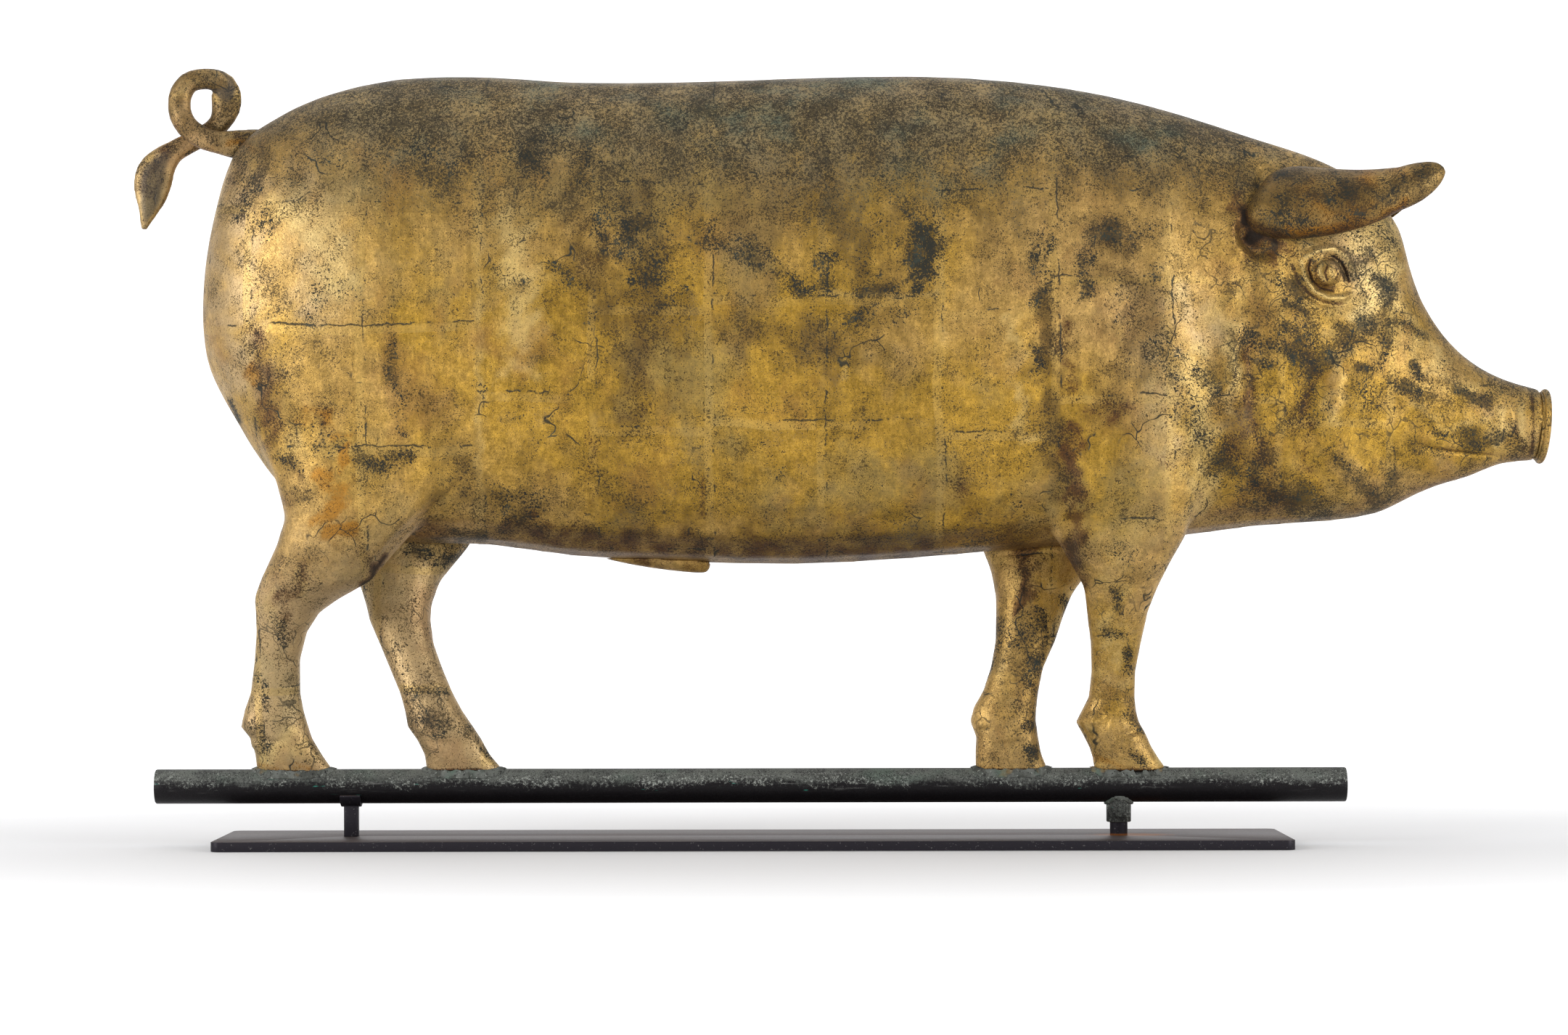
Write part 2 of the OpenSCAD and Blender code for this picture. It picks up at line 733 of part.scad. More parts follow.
module screw_places() {
    for (x = [0, post_x])
        translate([x, 0, 0]) children();
}

module base_plate() {
    color(STEEL) difference() {
        linear_extrude(plate_t) rounded_plate(plate_x0, plate_x1, plate_w, plate_corner_r);
        screw_places() {
            translate([0, 0, -past]) cylinder(r = screw_hole_r, h = plate_t + 2 * past, $fn = 32);
            translate([0, 0, -past]) cylinder(r = screw_sink_r, h = screw_sink + past, $fn = 32);
            translate([0, 0, screw_sink])
                cylinder(r1 = screw_sink_r, r2 = screw_hole_r, h = screw_cone, $fn = 32);
        }
    }
}

// The spindle stands on the plate, with a coned tip inside the bearing cup
module spindle() {
    color(STEEL) difference() {
        union() {
            translate([0, 0, plate_t])
                cylinder(r = spindle_d / 2, h = cup_z - seat_gap - plate_t, $fn = 48);
            translate([0, 0, cup_z - seat_gap])
                cylinder(r1 = spindle_tip, r2 = tip_flat, h = spindle_tip - tip_flat, $fn = 48);
        }
        cylinder(r = screw_hole_r, h = screw_l + thread_room, $fn = 32);
    }
}

// The post is coped on top to the cradle
module rear_post() {
    p = post_side / 2;
    c = post_chamfer;
    color(STEEL) translate([post_x, 0, 0]) difference() {
        translate([0, 0, plate_t]) linear_extrude(tube_z - tube_r - plate_t) polygon([
            [-p, -p + c], [-p + c, -p], [p - c, -p], [p, -p + c],
            [p, p - c], [p - c, p], [-p + c, p], [-p, p - c]
        ]);
        tube_bar(-cradle_l, cradle_l, cradle_r + cradle_t);
        cylinder(r = screw_hole_r, h = screw_l + thread_room, $fn = 32);
    }
}

// The cradle is a strip bent to the tube, open at the top so that the vane lifts out
module cradle() {
    outer = cradle_r + cradle_t;
    reach = 2 * outer;
    color(STEEL) translate([post_x - cradle_l / 2, 0, tube_z]) rotate([90, 0, 90]) linear_extrude(cradle_l)
        difference() {
            circle(outer, $fn = 64);
            circle(cradle_r, $fn = 64);
            polygon([
                [0, 0],
                [reach * sin(cradle_arm), -reach * cos(cradle_arm)],
                [reach * 2, reach * 2],
                [-reach * 2, reach * 2],
                [-reach * sin(cradle_arm), -reach * cos(cradle_arm)]
            ]);
        }
}

module stand_screws() {
    color("silver") screw_places() {
        translate([0, 0, screw_sink])
            cylinder(r1 = screw_head_d / 2, r2 = screw_shank_r, h = screw_cone, $fn = 32);
        translate([0, 0, screw_sink + screw_cone])
            cylinder(r = screw_shank_r, h = screw_l - screw_sink - screw_cone, $fn = 32);
    }
}

body_near();
body_far();
ear_near();
ear_far();
snout_disc();
tail();
sheath();
near_hind_leg_outer();
near_hind_leg_inner();
far_hind_leg_outer();
far_hind_leg_inner();
near_fore_leg_outer();
near_fore_leg_inner();
far_fore_leg_outer();
far_fore_leg_inner();
hoof_solder();
carrier_tube();
socket_sleeve();
socket_solder();
bearing_cup();
base_plate();
spindle();
rear_post();
cradle();
stand_screws();
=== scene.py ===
"""Dressed model of a gilded copper pig weathervane on its steel display stand."""

import math

import bmesh
import bpy
import numpy as np
from mathutils import Matrix, Vector
from mathutils.bvhtree import BVHTree


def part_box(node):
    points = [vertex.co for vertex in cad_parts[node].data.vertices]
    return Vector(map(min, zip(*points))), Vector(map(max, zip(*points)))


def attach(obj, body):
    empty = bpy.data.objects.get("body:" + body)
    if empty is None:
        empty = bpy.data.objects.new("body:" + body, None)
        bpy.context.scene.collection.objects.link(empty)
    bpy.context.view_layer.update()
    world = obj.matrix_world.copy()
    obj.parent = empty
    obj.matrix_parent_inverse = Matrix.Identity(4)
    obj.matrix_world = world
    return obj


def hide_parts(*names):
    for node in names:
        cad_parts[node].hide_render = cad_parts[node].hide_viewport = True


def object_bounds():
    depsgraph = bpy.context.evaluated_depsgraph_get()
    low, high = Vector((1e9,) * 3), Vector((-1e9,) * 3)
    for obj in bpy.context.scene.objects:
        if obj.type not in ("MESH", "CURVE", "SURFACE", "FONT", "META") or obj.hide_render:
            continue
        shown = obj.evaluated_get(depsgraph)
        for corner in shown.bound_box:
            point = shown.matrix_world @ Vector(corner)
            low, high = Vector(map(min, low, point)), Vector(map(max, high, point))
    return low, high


bl_info = {
    "name": "Pig weathervane",
    "version": (1, 0, 0),
    "blender": (4, 5, 0),
    "location": "3D View > Sidebar > Weathervane",
    "description": "Builds a gilded copper pig weathervane around its packed model",
    "category": "Object",
}

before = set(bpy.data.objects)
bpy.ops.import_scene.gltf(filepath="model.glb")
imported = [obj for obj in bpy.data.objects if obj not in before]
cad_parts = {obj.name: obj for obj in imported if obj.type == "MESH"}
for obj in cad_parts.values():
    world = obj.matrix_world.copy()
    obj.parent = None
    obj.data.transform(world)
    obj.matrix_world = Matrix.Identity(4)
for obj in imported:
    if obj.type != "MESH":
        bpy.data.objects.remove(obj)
CAD_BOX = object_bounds()

MM = 0.001
# Points closer than this are one point, and connected parts with fewer points than this are crumbs
WELD = 0.00002
CRUMB = 60
LEGS = ("near_hind_leg", "far_hind_leg", "near_fore_leg", "far_fore_leg")
HALVES = [f"{leg}_{half}" for leg in LEGS for half in ("outer", "inner")]
SHELLS = ["body_near", "body_far"] + HALVES
# Painted layers that the gilding reads from a mesh; two of them also carry painted highlights and painted shade
LAYERS = ("soot", "worn", "rust", "stain_and_shade", "rub_and_highlight", "glaze", "warm", "seams", "pale")

# Where the photograph was taken from, and how many of its pixels a metre covers at one metre
EYE = Vector((-0.2274, -2.8235, 0.1875))
FOCUS = 5718.0
CENTRE = (1080.5, 784.0)
ROLL = 0.002
PHOTO_WIDTH = 2161
PHOTO_HEIGHT = 1426


def box_of(node):
    """The low and the high corner of a CAD node's box, and its middle."""
    low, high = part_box(node)
    return low, high, (low + high) / 2


TUBE_LOW, TUBE_HIGH, TUBE_MID = box_of("carrier_tube")
TUBE_R = (TUBE_HIGH.z - TUBE_LOW.z) / 2
# A place between the hind and the fore legs
MIDDLE = Vector((-0.27, 0, 0))
AHEAD = Vector((1, 0, 0))
UP = Vector((0, 0, 1))


def colour(name, text, value):
    return bpy.props.FloatVectorProperty(
        name=name, description=text, default=value, size=3, min=0, max=1, subtype="COLOR"
    )


def length(name, text, value):
    return bpy.props.FloatProperty(name=name, description=text, default=value, min=0, unit="LENGTH")


def share(name, text, value):
    return bpy.props.FloatProperty(name=name, description=text, default=value, min=0, max=1, subtype="FACTOR")


def count(name, text, value):
    return bpy.props.IntProperty(name=name, description=text, default=value, min=0)


def power(name, text, value, unit="POWER"):
    return bpy.props.FloatProperty(name=name, description=text, default=value, min=0, unit=unit)


class SkinSettings(bpy.types.PropertyGroup):
    voxel: length("Voxel", "Mesh size of the formed sheet", 0.0025)
    leg_voxel: length("Leg voxel", "Mesh size of the legs", 0.0014)
    fine_voxel: length("Fine voxel", "Mesh size of the tail and the sheath", 0.0011)
    trunk_passes: count("Trunk passes", "Smoothing of the trunk", 46)
    head_passes: count("Head passes", "Smoothing of the head", 18)
    leg_passes: count("Leg passes", "Smoothing of the legs", 5)
    swell: length("Swell", "Growth that makes up for the smoothing of the trunk", 0.0011)
    seam: length("Seam", "Depth of the soldered seam along the back", 0.0005)


class GildingSettings(bpy.types.PropertyGroup):
    tan: colour("Tan gold", "Gold leaf that has dulled", (0.455, 0.285, 0.090))
    yellow: colour("Yellow gold", "Gold leaf that is still warm", (0.412, 0.242, 0.034))
    # Also lightens the forehead as a painted highlight
    pale: colour("Pale gold", "Gold leaf that has gone grey", (0.470, 0.340, 0.185))
    # Also the colour of the painted highlights
    bright: colour("Bright gold", "Gold leaf that has been rubbed", (0.72, 0.52, 0.20))
    glaze: colour("Brown glaze", "Dirt and varnish over the leaf", (0.105, 0.062, 0.020))
    soot: colour("Weathered top", "Dull layer along the back", (0.240, 0.194, 0.106))
    bare: colour("Bare copper", "Dark copper where the leaf is gone", (0.016, 0.018, 0.015))
    teal: colour("Verdigris", "Blue-green edge of a bare patch", (0.034, 0.056, 0.050))
    rust: colour("Orange stain", "Stain on the thigh", (0.34, 0.145, 0.014))
    # Also the colour of the painted shade in creases, valleys and recesses
    stain_and_shade: colour("Brown stain", "Stain in the creases and along the belly", (0.080, 0.030, 0.014))
    leaf: length("Leaf pitch", "Distance between the edges of the squares of leaf", 0.0763)
    lap: length("Leaf lap", "Width of the overlap between two squares", 0.0055)
    metal: share("Metal", "Metallic share of the gilding", 0.62)
    rough: share("Roughness", "Roughness of the gilding", 0.46)


class StandSettings(bpy.types.PropertyGroup):
    arris: length("Arris", "Width of the broken edges of the steel", 0.0006)
    black: colour("Black steel", "Blackened steel", (0.017, 0.0145, 0.020))
    brown: colour("Brown steel", "Worn top of the plate", (0.095, 0.074, 0.070))
    rust: colour("Rust", "Rust round the foot of the spindle", (0.20, 0.075, 0.020))
    patina: colour("Tube patina", "Grey patina on the top of the tube", (0.128, 0.136, 0.122))
    verdigris: colour("Tube verdigris", "Grey-green bloom on the tube", (0.090, 0.125, 0.100))
    chalk: colour("Chalk", "Pale specks on the tube", (0.40, 0.42, 0.38))
    tube_black: colour("Tube black", "Black of the tube's underside", (0.0045, 0.0035, 0.0045))
    green: colour("Green", "Bright green specks and scratches", (0.04, 0.30, 0.23))


class StageSettings(bpy.types.PropertyGroup):
    paper: colour("Paper", "Pale floor", (0.67, 0.67, 0.68))
    # Kept low near the stand, so that the floor there reads as a painted shadow
    painted_shadow_light: share("Floor light", "Light that shines through the floor near the stand", 0.10)
    far_light: share("Far light", "Light that shines through the floor further off", 0.60)
    backdrop_light: share("Backdrop light", "Light that shines through the backdrop", 0.80)
    sky: power("Sky", "Strength of the soft light all round", 0.40, "NONE")
    key: power("Key", "Power of the key light", 78)
    fill: share("Fill", "Power of the fill light, as a share of the key light's", 0.80)
    top: power("Top", "Power of the top light", 14)


SETTINGS = {
    "weathervane_skin": SkinSettings,
    "weathervane_gilding": GildingSettings,
    "weathervane_stand": StandSettings,
    "weathervane_stage": StageSettings,
}


def settings(name):
    return getattr(bpy.context.scene, "weathervane_" + name)


# Mesh helpers


def copied(*nodes):
    """A mesh with copies of CAD nodes, with doubled points merged."""
    bm = bmesh.new()
    for node in nodes:
        bm.from_mesh(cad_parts[node].data)
    bmesh.ops.remove_doubles(bm, verts=bm.verts, dist=WELD)
    return bm


def made(name, bm, material=None):
    """An object at the origin that holds the mesh."""
    mesh = bpy.data.meshes.new(name)
    bm.to_mesh(mesh)
    bm.free()
    obj = bpy.data.objects.new(name, mesh)
    bpy.context.scene.collection.objects.link(obj)
    if material is not None:
        mesh.materials.append(material)
    smoothly(mesh)
    return obj


def smoothly(mesh):
    mesh.polygons.foreach_set("use_smooth", [True] * len(mesh.polygons))


def shaped(obj, *steps):
    """Runs modifiers on an object, and keeps their result as its mesh."""
    for kind, values in steps:
        modifier = obj.modifiers.new(kind, kind)
        for key, value in values.items():
            setattr(modifier, key, value)
    graph = bpy.context.evaluated_depsgraph_get()
    mesh = bpy.data.meshes.new_from_object(obj.evaluated_get(graph))
    obj.modifiers.clear()
    old = obj.data
    obj.data = mesh
    bpy.data.meshes.remove(old)
    smoothly(mesh)
    return obj


def crisp(obj, angle=50):
    """Keeps cut edges and caps from bending the shading of the sheet beside them."""
    obj.data.set_sharp_from_angle(angle=math.radians(angle))
    return obj


def taken(obj):
    """The mesh of an object, which is then removed."""
    bm = bmesh.new()
    bm.from_mesh(obj.data)
    mesh = obj.data
    bpy.data.objects.remove(obj)
    bpy.data.meshes.remove(mesh)
    return bm


def places(mesh):
    """The places of a mesh's points, one row each."""
    co = np.empty(len(mesh.vertices) * 3)
    mesh.vertices.foreach_get("co", co)
    return co.reshape(-1, 3)


def normals(mesh):
    n = np.empty(len(mesh.vertices) * 3, np.float32)
    mesh.vertex_normals.foreach_get("vector", n)
    return n.reshape(-1, 3).astype(float)


def placed(mesh, co):
    mesh.vertices.foreach_set("co", co.reshape(-1))
    mesh.update()


def grouped(obj, name, weight):
    """Writes a vertex group with one weight for each point, in steps of a tenth."""
    group = obj.vertex_groups.new(name=name)
    level = np.round(np.clip(weight, 0, 1) * 10).astype(int)
    for step in range(1, 11):
        group.add(np.nonzero(level == step)[0].tolist(), step / 10, "REPLACE")


def finished(obj, body, node):
    """Makes a piece ride a body and stand for its CAD node, which is hidden."""
    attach(obj, body)
    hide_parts(node)


def ease(value, low, high):
    """A smooth step from 0 at low to 1 at high, also where low lies above high."""
    t = np.clip((value - low) / (high - low), 0, 1)
    return t * t * (3 - 2 * t)


# Where points land in the photograph


def on_photo(co):
    """Pixel places of points on either flank, as seen squarely from that side."""
    depth = -EYE.y - np.abs(co[:, 1])
    px = CENTRE[0] + FOCUS * (co[:, 0] - EYE.x) / depth
    py = CENTRE[1] - FOCUS * (co[:, 2] - EYE.z) / depth - ROLL * (px - CENTRE[0])
    return px, py


def brush(px, py, line, width, taper=0.28):
    """Weight of each point under a soft brush that is drawn along a line of pixels and lifted at its ends."""
    best = np.full(len(px), 1e9)
    where = np.zeros(len(px))
    runs = list(zip(line[:-1], line[1:]))
    for i, (a, b) in enumerate(runs):
        dx, dy = b[0] - a[0], b[1] - a[1]
        t = np.clip(((px - a[0]) * dx + (py - a[1]) * dy) / (dx * dx + dy * dy), 0, 1)
        d = np.hypot(px - a[0] - t * dx, py - a[1] - t * dy)
        near = d < best
        best = np.where(near, d, best)
        where = np.where(near, (i + t) / len(runs), where)
    fade = ease(np.minimum(where, 1 - where), -0.02, taper) if taper else 1.0
    return np.exp(-((best / width) ** 2)) * fade


def drawn(*rows):
    """Brush strokes from rows of width in pixels, strength, and then x and y of each place along the line."""
    return [(list(zip(row[2::2], row[3::2])), row[0], row[1]) for row in rows]


# Relief of the formed sheet. The strength is the height in mm
RELIEF = drawn(
    (20, 1.8, 1408, 380, 1400, 470, 1405, 560, 1414, 640, 1428, 705),
    (19, -3.4, 1438, 320, 1442, 420, 1448, 520, 1454, 620, 1464, 700, 1480, 780),
    (28, 2.2, 1610, 250, 1606, 340, 1612, 430, 1626, 520, 1640, 610), (30, -1.6, 1556, 330, 1562, 430, 1572, 560),
    (15, 4.0, 1702, 440, 1700, 500, 1705, 565), (16, -4.2, 1726, 440, 1725, 505, 1732, 575, 1750, 645),
    (20, 3.8, 1853, 480, 1845, 530, 1834, 580, 1828, 645), (22, -4.0, 1816, 500, 1804, 560, 1803, 615, 1816, 680),
    (11, 1.6, 707, 436, 695, 486, 682, 528, 668, 568, 655, 612),
    (12, -1.6, 724, 440, 710, 490, 696, 535, 682, 580, 668, 620),
    (7, -1.5, 646, 655, 612, 684, 575, 717, 545, 747, 520, 776, 508, 804),
    (13, 1.3, 630, 650, 598, 676, 560, 710, 532, 742, 506, 776), (12, -2.6, 1478, 700, 1470, 745, 1476, 790),
    (60, 1.2, 480, 300, 520, 350, 560, 420), (90, -1.0, 1040, 230, 1040, 300), (110, 0.8, 860, 520, 900, 600),
    (34, 1.6, 1760, 420, 1770, 480), (34, 1.6, 1890, 430, 1930, 520, 1990, 560),
    (30, -1.6, 1870, 560, 1900, 620, 1960, 640), (22, -1.6, 1700, 400, 1740, 390),
    (34, -1.4, 1500, 250, 1520, 330, 1510, 420),
)

# Finer relief of the head and hooves, in the same way
DETAIL = drawn(
    (3.2, -1.5, 1942, 611, 1985, 621, 2035, 627, 2074, 630), (7, 0.8, 1950, 600, 1990, 612, 2040, 618),
    (3, -0.9, 2087, 520, 2090, 575, 2088, 625), (4, -1.3, 1531, 1022, 1545, 1014, 1558, 1009, 1572, 1005),
    (7, 0.7, 1538, 1030, 1560, 1020, 1576, 1014), (4, -1.0, 1362, 1026, 1390, 1025, 1418, 1021),
    (8, 1.6, 1498, 1006, 1512, 996), (4.5, -1.8, 1522, 973, 1528, 990, 1518, 1008),
    (7, 1.5, 1500, 980, 1508, 990, 1506, 1000), (3, -0.9, 1504, 968, 1520, 962, 1536, 972),
    (6, 1.2, 1350, 992, 1352, 1004), (3, -0.9, 1362, 1000, 1356, 1010), (6, 1.0, 336, 985, 346, 1000, 352, 1012),
    (4, -0.8, 352, 1016, 380, 1022, 410, 1014), (6, 1.0, 574, 1000, 584, 1012),
    (4, -0.8, 590, 1022, 620, 1024, 648, 1016), (7, 1.0, 345, 1030, 352, 1020),
    (11, -6.0, 1714, 298, 1718, 330, 1735, 344, 1762, 342), (9, 1.6, 1700, 290, 1703, 330, 1718, 352),
    (6, -2.5, 1746, 226, 1738, 240, 1733, 262),
)

# The eye: middle, radius and height of ball and pupil, then the lids and the grooves round them
EYE_BALL = (1831, 376, 18.0, 4.6)
PUPIL = (1836, 376, 8.5, 0.8)
EYE_LINES = drawn(
    (3.6, -2.6, 1808, 356, 1804, 370, 1809, 386, 1820, 397, 1840, 401),
    (3.0, -2.6, 1824, 352, 1842, 354, 1853, 368, 1859, 390),
    (4.4, 2.3, 1798, 356, 1816, 346, 1838, 343, 1855, 353, 1864, 371, 1871, 394),
    (4.6, 2.2, 1792, 360, 1799, 384, 1812, 402, 1830, 411, 1852, 411, 1870, 402),
    (4.0, -1.2, 1779, 360, 1786, 386, 1802, 406, 1822, 418, 1846, 421),
)

# Weathering of an ear, layer by layer, with painted highlights and painted shade among it. The strength is the amount
# of it, 1 for full
EAR_WEATHER = {
    "worn": drawn(
        (9, 0.9, 1766, 272, 1768, 290), (16, 0.75, 1812, 268, 1835, 262, 1852, 266), (10, 0.8, 1838, 250, 1850, 256),
        (14, 0.6, 1896, 262, 1930, 256), (10, 0.6, 1770, 245, 1790, 240), (12, 0.5, 1850, 300, 1900, 296),
        (9, 0.6, 1950, 236, 1970, 232),
    ),
    "rust": drawn(
        (26, 0.7, 1800, 262, 1830, 290, 1880, 300), (20, 0.6, 1870, 240, 1930, 240),
        (9, 1.0, 1780, 316, 1840, 318, 1900, 300, 1940, 278), (14, 0.5, 1740, 250, 1760, 240),
    ),
    # Stains, and painted shade along the ear's underside and round its root
    "stain_and_shade": drawn(
        (9, 0.9, 1722, 300, 1756, 324, 1820, 328, 1890, 308, 1940, 284), (8, 1.0, 1720, 262, 1716, 290, 1728, 312),
        (6, 0.9, 1745, 234, 1728, 250),
    ),
    # Rubbed gold, and painted highlights on the ear's root and tip
    "rub_and_highlight": drawn(
        (16, 0.45, 1736, 262, 1740, 290, 1760, 304), (16, 0.3, 1780, 280, 1800, 300), (11, 0.5, 1960, 252, 1984, 238),
        (9, 0.45, 1780, 236, 1850, 232, 1920, 226),
    ),
}
